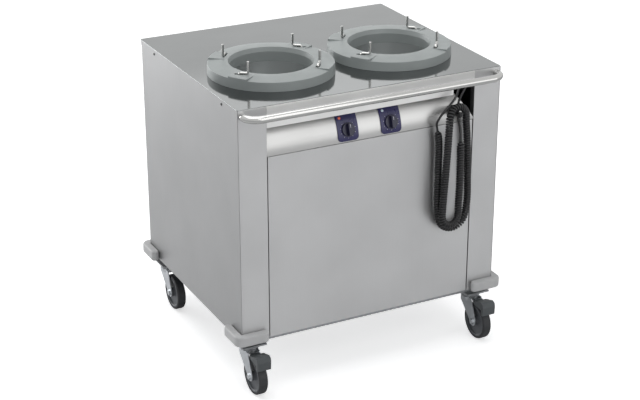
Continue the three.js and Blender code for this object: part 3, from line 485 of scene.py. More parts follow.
def piece(name, bm, body, slot, material, replaces=()):
    mesh = bpy.data.meshes.new(name)
    bm.to_mesh(mesh)
    bm.free()
    mesh.shade_smooth()
    mesh.set_sharp_from_angle(angle=math.radians(smooth_up_to))
    mesh.materials.append(material)
    made = bpy.data.objects.new(name, mesh)
    scene.collection.objects.link(made)
    flatten = made.modifiers.new("flat faces", "WEIGHTED_NORMAL")
    flatten.weight = 100
    flatten.keep_sharp = True
    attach(made, body)
    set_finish(made, slot)
    if replaces:
        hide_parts(*replaces)
    return made


def faces_of(word):
    """How many faces the pieces have whose names hold this word."""
    return sum(len(o.data.polygons) for o in scene.objects
               if word in o.name and "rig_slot" in o and o.type == "MESH")


# %% [markdown]
# ## Gland
# The lead leaves the cart through a moulded gland: a flanged boot whose five ribs taper onto the
# cable, so that it never bends sharply. The ribs are made by a loop.

# %% Gland
gland_back = 0.1485
rib_pitch = 0.0045
rib_taper = 0.0008
rib_depth = 0.0014
gland_section = [(0, 0), (0.014, 0), (0.014, 0.0034), (0.0135, 0.004), (0.0112, 0.0048)]
for i in range(5):
    z = 0.0055 + rib_pitch * i
    r = 0.0108 - rib_taper * i
    gland_section += [(r, z), (r, z + 0.0028)]
    gland_section += [(r - rib_depth, z + 0.0032), (r - rib_depth, z + 0.0043)]
gland_section += [(0.0055, 0.0292), (0.0052, 0.033), (0, 0.033)]
gland_place = at(gland_x, front_y + gland_back, gland_z) @ turned(90, "X")
gland = piece("strain_relief", moved(spun(gland_section, 32), gland_place), "cabinet",
              "black_plastic", black_plastic, ["cord_gland"])
print("gland faces:", len(gland.data.polygons))

# %% [markdown]
# ## Plug
# At its other end the lead has a round two-pin plug, parked in the recess with its pins to the back.

# %% Plug
pin_x = 0.0095
plug_section = [(0, 0), (0.0052, 0), (0.0055, 0.0006), (0.0078, 0.017), (0.0095, 0.0195),
                (0.0135, 0.0215), (0.0150, 0.0245), (0.0178, 0.0335), (0.0180, 0.035),
                (0.0180, 0.0550), (0.0174, 0.056), (0, 0.056)]
pin_section = [(0, 0.0555), (0.0024, 0.0555), (0.0024, 0.0725), (0.0015, 0.074), (0, 0.074)]
plug_shapes = [spun(plug_section, 40)]
for sign in (-1, 1):
    plug_shapes.append(moved(spun(pin_section, 16), at(sign * pin_x, 0, 0)))
plug_place = at(plug_x, front_y + plug_front + gap, plug_z) @ turned(-90, "X")
plug = piece("mains_plug", moved(together(*plug_shapes), plug_place), "cabinet",
             "black_plastic", black_plastic, ["plug"])

print("plug faces:", len(plug.data.polygons))

# %% [markdown]
# ## Flat shapes
# A flat shape is one face that is extruded to its thickness. Its corners can be arcs.

# %% Flat shapes
def plate(outline, depth):
    """A flat outline of (x, y) points in the XY plane, extruded up by depth."""
    bm = bmesh.new()
    face = bm.faces.new([bm.verts.new((x, y, 0)) for x, y in outline])
    made = bmesh.ops.extrude_face_region(bm, geom=[face])["geom"]
    verts = [v for v in made if isinstance(v, bmesh.types.BMVert)]
    bmesh.ops.translate(bm, vec=(0, 0, depth), verts=verts)
    bmesh.ops.recalc_face_normals(bm, faces=bm.faces)
    return bm


def rounded_outline(x0, x1, y0, y1, radius, steps=6):
    points = []
    for cx, cy, start in ((x1 - radius, y0 + radius, -90), (x1 - radius, y1 - radius, 0),
                          (x0 + radius, y1 - radius, 90), (x0 + radius, y0 + radius, 180)):
        for i in range(steps + 1):
            angle = math.radians(start + 90 * i / steps)
            points.append((cx + radius * math.cos(angle), cy + radius * math.sin(angle)))
    return points


# %% [markdown]
# ## Cutting and joining shapes
# A hole or a slot is easiest to cut with a boolean: one shape is taken from another, or joined to it.
# The exact solver is slower than the others, but it copes with faces that meet edge on.

# %% Booleans
def solid_object(bm):
    mesh = bpy.data.meshes.new("tool")
    bm.to_mesh(mesh)
    bm.free()
    made = bpy.data.objects.new("tool", mesh)
    scene.collection.objects.link(made)
    return made


def combined(base, *steps):
    """Booleans on shapes, run by modifiers and applied: steps are pairs of a way and a shape."""
    base = solid_object(base)
    tools = []
    for way, bm in steps:
        tool = solid_object(bm)
        tools.append(tool)
        boolean = base.modifiers.new("boolean", "BOOLEAN")
        boolean.operation = way
        boolean.solver = "EXACT"
        boolean.object = tool
    bpy.context.view_layer.update()
    result = bmesh.new()
    result.from_mesh(base.evaluated_get(bpy.context.evaluated_depsgraph_get()).to_mesh())
    for made in [base] + tools:
        mesh = made.data
        bpy.data.objects.remove(made)
        bpy.data.meshes.remove(mesh)
    bmesh.ops.remove_doubles(result, verts=result.verts, dist=1e-5)
    return result


# %% [markdown]
# ## Sheet metal
# Every panel is a folded sheet, so its edges are small rounds and not knife edges, and their
# highlights are what makes it look like metal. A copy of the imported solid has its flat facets
# joined up and its sharp edges bevelled, and takes the node's place.

# %% Edged copies of the solids
def soften(bm, width, segments=2, degrees=30):
    """Bevels the edges where the faces turn by more than this many degrees."""
    limit = math.radians(degrees)
    sharp = [e for e in bm.edges if len(e.link_faces) == 2 and e.calc_face_angle(0) > limit]
    bmesh.ops.bevel(bm, geom=sharp, offset=width, offset_type="OFFSET", affect="EDGES",
                    segments=segments, profile=0.5, material=-1, clamp_overlap=True)


def edged(node, name, body, slot, material, width, segments=2, degrees=30, cut=None):
    bm = bmesh.new()
    bm.from_mesh(frame["nodes"][node].data)
    bmesh.ops.remove_doubles(bm, verts=bm.verts, dist=2e-5)
    if cut:
        bm = combined(bm, ("DIFFERENCE", cut))
    bmesh.ops.dissolve_limit(bm, angle_limit=math.radians(1), verts=bm.verts, edges=bm.edges)
    soften(bm, width, segments, degrees)
    return piece(name, bm, body, slot, material, [node])


# %% Panels
sheet_slot = "brushed_steel_sheet"
thin_edge = 0.0003
sheet_edge = 0.0006
folded_edge = 0.0009
screw_stand = 0.0002
for side in side_signs:
    sheet = edged(f"{side}_side_panel", f"{side}_side_sheet", "cabinet", sheet_slot, side_steel_painted_shade,
                  sheet_edge)
    sheet.data.materials.append(recess_shade_and_black_screws.material)
    for face in sheet.data.polygons:
        if abs(face.center.x) > half_width + screw_stand:
            face.material_index = 1
    edged(f"{side}_front_pillar", f"{side}_front_post", "cabinet", sheet_slot, front_steel,
          folded_edge)
edged("rear_panel", "back_sheet", "cabinet", sheet_slot, front_steel, sheet_edge)
edged("front_panel", "front_sheet", "cabinet", sheet_slot, front_steel, folded_edge)
# The front strip gets the lighter copy of the steel: painted light against the rail's shade.
edged("front_apron", "front_strip", "cabinet", sheet_slot, apron_steel_painted_light, sheet_edge)
edged("worktop", "worktop_sheet", "cabinet", "polished_steel", worktop_steel, 0.0008)
edged("base_frame", "chassis", "cabinet", "galvanised_steel", galvanised.material, 0.0012)
# The recess is galvanised, but its near-black finish paints the shade inside it.
edged("lead_recess", "recess_tray", "cabinet", "galvanised_steel", recess_shade_and_black_screws.material, thin_edge)
print("sheet faces:", faces_of("_sheet"))

# %% [markdown]
# ## Fascia
# The right end of the fascia is cut away on a slant, where the lead comes out of its recess. The
# notch is drawn from the front and is deeper than the fascia, so that it cuts right through.

# %% Fascia
notch_low = 0.808
notch_high = 0.962
notch_right = 0.3720
notch_outline = [(0.3662, notch_low), (notch_right, notch_low), (notch_right, notch_high),
                 (0.3010, notch_high), (0.3010, 0.902)]
notch_back = 0.150
notch = plate(notch_outline, 0.170)
moved(notch, at(0, front_y + notch_back, 0) @ turned(90, "X"))
edged("control_fascia", "fascia_sheet", "cabinet", sheet_slot, fascia_steel_painted_shade, thin_edge, cut=notch)
print("fascia faces:", faces_of("fascia_sheet"))

# %% [markdown]
# ## Tubes and rods
# A tube starts as a circle that is extruded step by step along a path. Each step moves and turns the
# last circle, so the tube never twists. The path has a round bend at each of its inner corners.

# %% Tubes and rods
def bent_path(corners, radius, steps):
    """Straight runs through the corners, with a round bend at each inner one."""
    corners = [Vector(c) for c in corners]
    points = [corners[0]]
    for before, corner, after in zip(corners, corners[1:], corners[2:]):
        back_way = (before - corner).normalized()
        ahead = (after - corner).normalized()
        half = back_way.angle(ahead) / 2
        centre = corner + (back_way + ahead).normalized() * radius / math.sin(half)
        start = corner + back_way * radius / math.tan(half) - centre
        turn = start.rotation_difference(corner + ahead * radius / math.tan(half) - centre)
        for i in range(steps + 1):
            points.append(centre + Quaternion().slerp(turn, i / steps) @ start)
    return points + [corners[-1]]


def tube(points, radius, sides):
    bm = bmesh.new()
    way = (points[1] - points[0]).normalized()
    place = Matrix.Translation(points[0]) @ way.to_track_quat("Z", "Y").to_matrix().to_4x4()
    made = bmesh.ops.create_circle(bm, cap_ends=False, segments=sides, radius=radius, matrix=place)
    first = list({e for v in made["verts"] for e in v.link_edges})
    edges = first
    for i in range(1, len(points)):
        arriving = (points[i] - points[i - 1]).normalized()
        leaving = (points[min(i + 1, len(points) - 1)] - points[i]).normalized()
        new_way = (arriving + leaving).normalized() if leaving.length else arriving
        geom = bmesh.ops.extrude_edge_only(bm, edges=edges)["geom"]
        verts = [g for g in geom if isinstance(g, bmesh.types.BMVert)]
        edges = [g for g in geom if isinstance(g, bmesh.types.BMEdge)]
        turn = way.rotation_difference(new_way).to_matrix().to_4x4()
        step = Matrix.Translation(points[i]) @ turn @ Matrix.Translation(-points[i - 1])
        bmesh.ops.transform(bm, matrix=step, verts=verts)
        way = new_way
    bmesh.ops.edgeloop_fill(bm, edges=first)
    bmesh.ops.edgeloop_fill(bm, edges=edges)
    bmesh.ops.recalc_face_normals(bm, faces=bm.faces)
    return bm


# %% [markdown]
# ## Push rail
# The rail is one bright tube bent square at both ends, with its ends welded to the pillars.

# %% Push rail
rail_x = 0.447
rail_z = 0.9455
rail_back = front_y - gap
rail_front = front_y - 0.048
rail_radius = 0.0120
rail_bend = 0.042
rail_corners = [(-rail_x, rail_back, rail_z), (-rail_x, rail_front, rail_z),
                (rail_x, rail_front, rail_z), (rail_x, rail_back, rail_z)]
rail_path = bent_path(rail_corners, rail_bend, 14)
piece("bright_rail", tube(rail_path, rail_radius, 40), "cabinet", "polished_steel", rail_steel,
      ["push_rail"])
print("rail length:", round(distances_along(rail_path)[-1], 3))

# %% [markdown]
# ## Places on the fascia
# The fascia has a short upright foot and then leans back along an arc. A place on it is given by
# how far along the sheet it is from the lower edge, its rise, and by how proud of it it stands.

# %% Places on the fascia
fascia_flat = 0.005
fascia_radius = 0.116
fascia_bottom_z = 0.802
fascia_set_back = 0.001


def face_angle(rise):
    return max(0.0, rise - fascia_flat) / fascia_radius


def face_point(x, rise, proud):
    angle = face_angle(rise)
    y = front_y + fascia_set_back + fascia_radius * (1 - math.cos(angle)) - proud * math.cos(angle)
    z = fascia_bottom_z + min(rise, fascia_flat) + fascia_radius * math.sin(angle)
    return Vector((x, y, z + proud * math.sin(angle)))


def on_face(x, rise, proud):
    lean = Matrix.Rotation(math.pi / 2 - face_angle(rise), 4, "X")
    return Matrix.Translation(face_point(x, rise, proud)) @ lean


print("the fascia's lean at a rise of 0.1:", round(math.degrees(face_angle(0.1))), "degrees")

# %% [markdown]
# ## Plates that follow the fascia
# A flat plate is sliced across into strips and each of its points is then laid on the face, so
# the plate bends with the sheet.

# %% Wrapping a plate
def sliced(bm, low, high, parts):
    """Cuts a flat plate across into equal strips from low to high, and lifts it by the gap."""
    for i in range(1, parts):
        bmesh.ops.bisect_plane(bm, geom=bm.verts[:] + bm.edges[:] + bm.faces[:],
                               plane_co=(0, low + (high - low) * i / parts, 0),
                               plane_no=(0, 1, 0))
    bmesh.ops.translate(bm, vec=(0, 0, gap), verts=bm.verts)
    return bm


def wrapped(bm, x):
    """Bends a flat plate onto the face: its Y is the rise and its Z how proud it stands."""
    for v in bm.verts:
        v.co = face_point(x + v.co.x, v.co.y, v.co.z)
    bmesh.ops.recalc_face_normals(bm, faces=bm.faces)
    return bm


# %% [markdown]
# ## Dials and lamps
# A dial's plate is a moulding with rounded corners. Its knob has a low skirt and a grip across it
# with a white line, and nine white marks stand round it. A small domed lamp sits at its upper left.

# %% Bezels
dial_offsets = {"left": -0.088, "right": 0.064}
bezel_half = 0.036
bezel_low = 0.004
bezel_high = 0.102
bezel_corner = 0.013
bezel_thick = 0.003
for side, offset in dial_offsets.items():
    bm = plate(rounded_outline(-bezel_half, bezel_half, bezel_low, bezel_high, bezel_corner),
               bezel_thick)
    soften(bm, 0.0009, degrees=60)
    sliced(bm, bezel_low, bezel_high, 16)
    piece(f"{side}_dial_plate", wrapped(bm, offset), "cabinet", "navy_plastic", bezel_plastic,
          [f"{side}_bezel"])
print("bezel faces:", faces_of("_dial_plate"))

# %% Knobs
knob_rise = 0.040
knob_seat = 0.0036
grip_half_width = 0.0065
grip_half_length = 0.0195
grip_base = 0.0045
grip_height = 0.0155
knob_section = [(0, 0), (0.0225, 0), (0.0225, 0.0038), (0.0220, 0.0052), (0.0205, 0.006),
                (0, 0.006)]
shaft_section = [(0, -0.018), (0.004, -0.018), (0.004, 0.001), (0, 0.001)]
for side, offset in dial_offsets.items():
    grip = plate(rounded_outline(-grip_half_width, grip_half_width, -grip_half_length,
                                 grip_half_length, 0.003, 4), grip_height)
    moved(grip, at(0, 0, grip_base))
    soften(grip, 0.0015, segments=3, degrees=60)
    knob_shapes = together(spun(knob_section, 56), grip, spun(shaft_section, 24))
    knob = moved(knob_shapes, on_face(offset, knob_rise, knob_seat))
    piece(f"{side}_dial_knob", knob, f"{side}_dial", "knob_plastic", knob_plastic,
          [f"{side}_knob"])
    line = plate(rounded_outline(-0.0006, 0.0006, 0.006, 0.0165, 0.0005, 3), 0.0002)
    moved(line, on_face(offset, knob_rise, knob_seat) @ at(0, 0, grip_base + grip_height))
    piece(f"{side}_knob_line", line, f"{side}_dial", "knob_plastic", mark_ink)
print("knob faces:", faces_of("_knob"))

# %% Dial marks
mark_count = 9
mark_half = 0.0005
mark_inner = 0.0245
mark_outer = 0.0275
dial_start = -225
dial_sweep = 270
for side, offset in dial_offsets.items():
    marks = []
    for i in range(mark_count):
        angle = math.radians(dial_start + dial_sweep * i / (mark_count - 1))
        mark = plate(rounded_outline(-mark_half, mark_half, mark_inner, mark_outer, 0.0004, 2),
                     0.00015)
        spoke = Matrix.Rotation(angle - math.pi / 2, 4, "Z")
        marks.append(moved(mark, at(0, knob_rise, gap + bezel_thick) @ spoke))
    piece(f"{side}_dial_marks", wrapped(together(*marks), offset), "cabinet", "navy_plastic",
          mark_ink)
print("marks:", mark_count * len(dial_offsets))

# %% Lamps
lamp_rise = 0.078
lamp_step = 0.023
lamp_radius = 0.0045
lamp_base = 0.0040
dome_rise = 0.0025
lens_finishes = {"left": ("orange_lens", orange_lens), "right": ("clear_lens", clear_lens)}
lamp_section = [(0, -0.006), (lamp_radius, -0.006), (lamp_radius, lamp_base)]
lamp_section += [(lamp_radius * math.cos(a), lamp_base + dome_rise * math.sin(a))
                 for a in (math.radians(15 * i) for i in range(1, 6))]
lamp_section += [(0, lamp_base + dome_rise)]
for side, offset in dial_offsets.items():
    slot, finish = lens_finishes[side]
    lamp = moved(spun(lamp_section, 32), on_face(offset - lamp_step, lamp_rise, 0))
    piece(f"{side}_lamp_lens", lamp, "cabinet", slot, finish, [f"{side}_lamp"])
print("lamp faces:", faces_of("_lamp_lens"))

# %% [markdown]
# ## Peg
# The lead hangs on a black peg with a turned-up tip, moulded with a small plate that is fixed to
# the fascia.

# %% Peg
peg_x = 0.285
peg_rise = 0.0395
peg_radius = 0.0075
peg_bend = 0.0085
peg_tip_up = 0.012
peg_plate_half = 0.013
peg_back = face_point(peg_x, peg_rise, 2 * gap)
peg_tip_y = front_y - 0.053
peg_corners = [(peg_x, peg_back.y - 0.003, peg_back.z), (peg_x, peg_tip_y, peg_back.z),
               (peg_x, peg_tip_y, peg_back.z + peg_tip_up)]
peg_rod = tube(bent_path(peg_corners, peg_bend, 8), peg_radius, 28)
soften(peg_rod, 0.0015, segments=3, degrees=60)
peg_low = peg_rise - 0.017
peg_high = peg_rise + 0.017
peg_plate = plate(rounded_outline(-peg_plate_half, peg_plate_half, peg_low, peg_high, 0.004),
                  0.0057)
soften(peg_plate, 0.0008, degrees=60)
sliced(peg_plate, peg_low, peg_high, 8)
piece("lead_peg", together(peg_rod, wrapped(peg_plate, peg_x)), "cabinet", "black_plastic",
      black_plastic, ["cord_peg"])
print("peg faces:", faces_of("lead_peg"))

# %% [markdown]
# ## Rings
# Each well has a moulded ring: an upright skirt, a shallow dome and a bevel into the well. Four
# bosses stand up to the ring's full height. Each has a round-ended slot where a guide pivots. The
# booleans number their faces differently on each run, so the ring is put in order by place before
# its small faces are joined up.

# %% Ring shapes
ring_outer = 0.2040
ring_bore = 0.1315
crest_height = 0.036
dome_foot = 0.030
dome_outer = 0.202
dome_run = 0.065
dome_steps = 16


def ring_section():
    points = [(ring_outer, gap), (0.2025, 0.0285)]
    for i in range(dome_steps + 1):
        share = i / dome_steps
        height = dome_foot + (crest_height - dome_foot) * math.sin(share * math.pi / 2)
        points.append((dome_outer - dome_run * share, height))
    points += [(ring_bore + gap, 0.0222), (ring_bore, 0.0210), (ring_bore, -0.010),
               (0.1355, -0.010), (0.1355, 0.017), (0.141, 0.032), (0.198, 0.026), (0.200, gap)]
    return points


print("points in the ring's section:", len(ring_section()))

# %% [markdown]
# ## Where the guides stand
# Each quarter of a ring has a guide: its rod stands at the pin, and its arm turns about the pivot.
# On the rear right and front left quarters the arm is turned by a further 15 degrees.

# %% Places of the guides
guide_radius = 0.157
guide_arm = 0.029
guide_base = math.radians(38)
guide_lean = math.radians(15)
quarter_names = ["rear_right", "rear_left", "front_left", "front_right"]


def guide_places(quarter):
    angle = (guide_base, math.pi - guide_base, math.pi + guide_base, -guide_base)[quarter]
    pin = Vector((math.cos(angle), math.sin(angle), 0)) * guide_radius
    turn = angle - math.pi / 2 + (0 if quarter % 2 else guide_lean)
    return pin, pin + Vector((math.cos(turn), math.sin(turn), 0)) * guide_arm, turn


for quarter, quarter_name in enumerate(quarter_names):
    print(quarter_name, "pivot at", [round(c, 3) for c in guide_places(quarter)[1].xy])

# %% Rings
boss_inner = 0.142
boss_outer = 0.224
boss_half = 0.034
boss_corner = 0.008
boss_depth = 0.024
guide_slot_long = 0.0165
guide_slot_half = 0.0065
guide_slot_depth = 0.007
boss_disc = [(0, 0.001), (0.202, 0.001), (0.202, 0.0345), (0.2005, crest_height),
             (0, crest_height)]


def in_order(bm):
    """The same mesh made again, with its vertices and faces in order of place."""
    ranked = sorted(bm.verts, key=lambda vert: [round(c, 6) for c in vert.co])
    number = {vert: i for i, vert in enumerate(ranked)}
    rounds = []
    for face in bm.faces:
        numbers = [number[vert] for vert in face.verts]
        first = numbers.index(min(numbers))
        rounds.append(numbers[first:] + numbers[:first])
    ordered = bmesh.new()
    verts = [ordered.verts.new(vert.co) for vert in ranked]
    for numbers in sorted(rounds):
        ordered.faces.new([verts[i] for i in numbers])
    bm.free()
    return ordered


def plate_ring():
    bosses = []
    slots = []
    for quarter in range(4):
        pin, pivot, turn = guide_places(quarter)
        middle = pin + pivot
        bearing = math.atan2(middle.y, middle.x)
        boss = plate(rounded_outline(boss_inner, boss_outer, -boss_half, boss_half, boss_corner),
                     boss_depth)
        moved(boss, Matrix.Rotation(bearing, 4, "Z") @ at(0, 0, crest_height - boss_depth))
        trimmed = combined(boss, ("INTERSECT", spun(boss_disc, 96)))
        bosses.append(("UNION", trimmed))
        slot = plate(rounded_outline(-guide_slot_long, guide_slot_long, -guide_slot_half,
                                     guide_slot_half, 0.0064), 0.012)
        slot_place = at(pivot.x, pivot.y, crest_height - guide_slot_depth)
        moved(slot, slot_place @ Matrix.Rotation(turn, 4, "Z"))
        slots.append(("DIFFERENCE", slot))
    return in_order(combined(spun(ring_section(), 96), *bosses, *slots))


for side, sign in side_signs.items():
    ring = moved(plate_ring(), at(sign * well_x, well_y, worktop_z))
    bmesh.ops.dissolve_limit(ring, angle_limit=math.radians(0.5), verts=ring.verts,
                             edges=ring.edges)
    soften(ring, 0.0010, degrees=32)
    piece(f"{side}_ring", ring, "cabinet", "grey_plastic", ring_plastic, [f"{side}_plate_ring"])
print("ring faces:", faces_of("_ring"))

# %% [markdown]
# ## Plate guides
# A guide is a cranked bright rod. It rises from its pivot in the boss, runs along its arm, and
# stands up beside the plates. Swinging the arm outwards sets the well for larger plates.

# %% Plate guides
rod_radius = 0.004
rod_bend = 0.006
rod_foot = Vector((0, 0, 0.0293))
rod_crank = Vector((0, 0, 0.0403))
rod_tip = Vector((0, 0, 0.079))
for side, sign in side_signs.items():
    for quarter, quarter_name in enumerate(quarter_names):
        pin, pivot, turn = guide_places(quarter)
        corners = [pivot + rod_foot, pivot + rod_crank, pin + rod_crank, pin + rod_tip]
        bm = tube(bent_path(corners, rod_bend, 7), rod_radius, 24)
        soften(bm, 0.0012, segments=3, degrees=60)
        moved(bm, at(sign * well_x, well_y, worktop_z))
        piece(f"{side}_{quarter_name}_rod", bm, f"{side}_guide_{quarter_name}_arm",
              "polished_steel", rail_steel, [f"{side}_guide_{quarter_name}"])
print("guide faces:", faces_of("_rod"))

# %% [markdown]
# ## Wells
# The well is a rolled tube with a flange at its foot. It has three long slots, and above each slot
# a small bracket that a spring hangs from. Heights are counted down from the worktop.

# %% Wells
lift_angles = {"rear": 90, "front_left": 210, "front_right": 330}
well_inner = 0.131
well_outer = 0.1325
flange_outer = 0.1465
well_foot = -0.7667
well_top = -0.0103
arm_reach = 0.1515
slot_half = 0.008
slot_low = -0.692
slot_high = -0.243
bracket_low = -0.022
bracket_high = -0.019
well_section = [(well_inner, well_foot), (flange_outer, well_foot), (flange_outer, -0.7637),
                (well_outer, -0.7637), (well_outer, well_top), (well_inner, well_top)]


def block(low, high):
    bm = bmesh.new()
    size = [b - a for a, b in zip(low, high)]
    middle = [(a + b) / 2 for a, b in zip(low, high)]
    matrix = Matrix.Translation(middle) @ Matrix.Diagonal((*size, 1))
    bmesh.ops.create_cube(bm, size=1, matrix=matrix)
    return bm


def well_tube():
    brackets = []
    slots = []
    for degrees in lift_angles.values():
        bracket = block((0.1317, -slot_half, bracket_low), (arm_reach, slot_half, bracket_high))
        brackets.append(("UNION", moved(bracket, turned(degrees, "Z"))))
        slot = block((0.110, -slot_half, slot_low), (0.152, slot_half, slot_high))
        slots.append(("DIFFERENCE", moved(slot, turned(degrees, "Z"))))
    return combined(spun(well_section, 84), *brackets, *slots)


for side, sign in side_signs.items():
    tube_shape = moved(well_tube(), at(sign * well_x, well_y, worktop_z))
    piece(f"{side}_well", tube_shape, "cabinet", sheet_slot, well_steel, [f"{side}_well_tube"])
print("well faces:", faces_of("_well"))

# %% [markdown]
# ## Platforms
# A platform is a disc with a rolled rim. It stands on a post, and three flat arms at the post's foot
# pass through the slots of the well to the springs.

# %% Platforms
post_foot = -0.260
plate_under = -0.0615
arm_top = -0.255
arm_half = 0.005
platform_section = [(0, -0.062), (0.125, -0.062), (0.125, -0.074), (0.127, -0.074),
                    (0.127, -0.0625), (0.1265, -0.0610), (0.1250, -0.0600), (0, -0.060)]
post_section = [(0, post_foot), (0.018, post_foot), (0.018, plate_under), (0, plate_under)]
for side, sign in side_signs.items():
    arms = []
    for degrees in lift_angles.values():
        arm = block((0, -arm_half, post_foot), (arm_reach, arm_half, arm_top))
        arms.append(moved(arm, turned(degrees, "Z")))
    shape = together(spun(platform_section, 84), spun(post_section, 40), *arms)
    moved(shape, at(sign * well_x, well_y, worktop_z))
    piece(f"{side}_plate_platform", shape, f"{side}_lift", sheet_slot, platform_steel,
          [f"{side}_platform"])
print("platform faces:", faces_of("_plate_platform"))

# %% [markdown]
# ## Lift springs
# Extension springs, stretched a little and with a straight end above and below, hold the platform
# at serving height. A spring is one long helix, so its wire has only six sides.

# %% Lift springs
spring_low = -0.2547
spring_high = -0.0223
spring_radius = 0.0064
spring_coils = 60
steps_per_coil = 12
wire_radius = 0.0010
spring_end = 0.008
spring_out = 0.143


def spring_path():
    steps = spring_coils * steps_per_coil
    wound = spring_high - spring_low - 2 * spring_end
    points = [Vector((0, 0, spring_low + 0.0012))]
    for i in range(steps + 1):
        share = i / steps
        angle = math.tau * spring_coils * share
        points.append(Vector((spring_radius * math.cos(angle), spring_radius * math.sin(angle),
                              spring_low + spring_end + wound * share)))
    return points + [Vector((0, 0, spring_high - 0.0012))]


for side, sign in side_signs.items():
    for corner_name, degrees in lift_angles.items():
        well_middle = at(sign * well_x, well_y, worktop_z)
        bm = tube(spring_path(), wire_radius, 6)
        moved(bm, well_middle @ turned(degrees, "Z") @ at(spring_out, 0, 0))
        piece(f"{side}_{corner_name}_spring", bm, "cabinet", "galvanised_steel", zinc.material,
              [f"{side}_lift_spring_{corner_name}"])
print("spring faces:", faces_of("_spring"))

# %% [markdown]
# ## Castors
# A castor's wheel has a moulded hub with a plain web and a black rubber tyre with rounded
# shoulders. Both are half sections that are mirrored and then spun. The wheel trails behind the
# swivel's axis.

# %% Castor shapes
castor_places = {}
for end, y in (("front", castor_front_y), ("rear", castor_rear_y)):
    for side, sign in side_signs.items():
        castor_places[f"{end}_{side}"] = at(sign * castor_x, y, 0)

wheel_place = at(0, -castor_trail, wheel_radius) @ turned(90, "Y")
shoulder_radius = 0.0585
tyre_half = [(0.0545, -0.015), (0.0570, -0.015), (shoulder_radius, -0.0149)]
tyre_half += [(shoulder_radius + 0.0040 * math.sin(a), -0.009 - 0.0059 * math.cos(a))
              for a in (math.radians(15 * i) for i in range(1, 6))]
tyre_half += [(wheel_radius, -0.0090)]
tyre_section = tyre_half + [(r, -x) for r, x in reversed(tyre_half)]
hub_half = [(0.0065, 0.0175), (0.0145, 0.0175), (0.0155, 0.0165), (0.0160, 0.0080),
            (0.0170, 0.0070), (0.0445, 0.0070), (0.0470, 0.0080), (0.0480, 0.0125),
            (0.0495, 0.0138), (0.0535, 0.0140), (0.0542, 0.0135)]
hub_section = hub_half + [(r, -x) for r, x in reversed(hub_half)]
print("castors:", sorted(castor_places))

# %% Wheels
for name, place in castor_places.items():
    rubber = moved(spun(tyre_section, 96), place @ wheel_place)
    piece(f"{name}_rubber", rubber, f"{name}_wheel", "tyre_rubber", tyre_rubber, [f"{name}_tyre"])
    hub = moved(spun(hub_section, 72), place @ wheel_place)
    piece(f"{name}_wheel_hub", hub, f"{name}_wheel", "hub_plastic", hub_plastic, [f"{name}_hub"])
print("tyre faces:", faces_of("_rubber"), "hub faces:", faces_of("_wheel_hub"))

# %% [markdown]
# ## Forks and pedals
# A fork is a zinc-plated pressing on a double ball race, and the front castors carry a foot brake
# with a broad moulded pedal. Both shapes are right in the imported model, so they are edged copies.

# %% Forks and pedals
fork_edge = 0.0010
pedal_edge = 0.0018
for name in castor_places:
    edged(f"{name}_fork", f"{name}_castor_fork", f"{name}_castor", "zinc_plate", zinc.material,
          fork_edge, degrees=25)
for side in side_signs:
    edged(f"front_{side}_brake_pedal", f"front_{side}_foot_pedal", f"front_{side}_brake",
          "pedal_plastic", pedal_plastic, pedal_edge, segments=3, degrees=12)
print("fork faces:", faces_of("_castor_fork"), "pedal faces:", faces_of("_foot_pedal"))

# %% [markdown]
# ## Corner bumpers
# A soft grey moulding wraps each lower corner. Its upper and lower edges are rounded, so it starts
# as the L-shaped outline with round ends and is bevelled along both rims.

# %% Corner bumpers
bumper_out = 0.027
bumper_leg = 0.086
bumper_height = 0.035
bumper_z = 0.185
bumper_edge = 0.006


def bumper():
    half = (bumper_out - gap) / 2
    points = [(gap, gap)]
    for cx, cy, radius, start, sweep in (
            (bumper_out - half, -bumper_leg + half, half, 180, 180),
            (0, 0, bumper_out, 0, 90),
            (-bumper_leg + half, bumper_out - half, half, 90, 180)):
        for i in range(13):
            angle = math.radians(start + sweep * i / 12)
            points.append((cx + radius * math.cos(angle), cy + radius * math.sin(angle)))
    bm = plate(points, bumper_height)
    rims = [e for e in bm.edges if abs(e.verts[0].co.z - e.verts[1].co.z) < 1e-6]
    bmesh.ops.bevel(bm, geom=rims, offset=bumper_edge, offset_type="OFFSET", affect="EDGES",
                    segments=5, profile=0.5, material=-1, clamp_overlap=True)
    return bm


for end, y, y_sign in (("front", front_y, -1), ("rear", rear_y, 1)):
    for side, sign in side_signs.items():
        place = at(sign * half_width, y, bumper_z) @ Matrix.Diagonal((sign, y_sign, 1, 1))
        piece(f"{end}_{side}_buffer", moved(bumper(), place), "cabinet", "bumper_plastic",
              bumper_plastic, [f"{end}_{side}_bumper"])
print("bumper faces:", faces_of("_buffer"))

# %% [markdown]
# ## Floor
# The floor is pale. It glows a little for the camera, so that it looks as white as the surround
# behind it, and hardly at all in reflections.

# %% Floor
floor_mesh = bpy.data.meshes.new("floor")
floor_bm = bmesh.new()
bmesh.ops.create_grid(floor_bm, x_segments=1, y_segments=1, size=14)
floor_bm.to_mesh(floor_mesh)
floor_bm.free()
floor = bpy.data.objects.new("floor", floor_mesh)
scene.collection.objects.link(floor)
floor_finish = Finish("studio_floor", (0.93, 0.93, 0.93), 0.7)
floor_mesh.materials.append(floor_finish.material)
glow_rays = floor_finish.nodes.new("ShaderNodeLightPath")
glows = []
for ray, strength in (("Is Camera Ray", 0.60), ("Is Glossy Ray", 0.02)):
    share = floor_finish.nodes.new("ShaderNodeMath")
    share.operation = "MULTIPLY"
    share.inputs[1].default_value = strength
    floor_finish.links.new(glow_rays.outputs[ray], share.inputs[0])
    glows.append(share.outputs["Value"])
glow = floor_finish.nodes.new("ShaderNodeMath")
glow.operation = "ADD"
for socket, value in zip(glow.inputs, glows):
    floor_finish.links.new(value, socket)
floor_finish.shader.inputs["Emission Color"].default_value = (1, 1, 1, 1)
floor_finish.links.new(glow.outputs["Value"], floor_finish.shader.inputs["Emission Strength"])
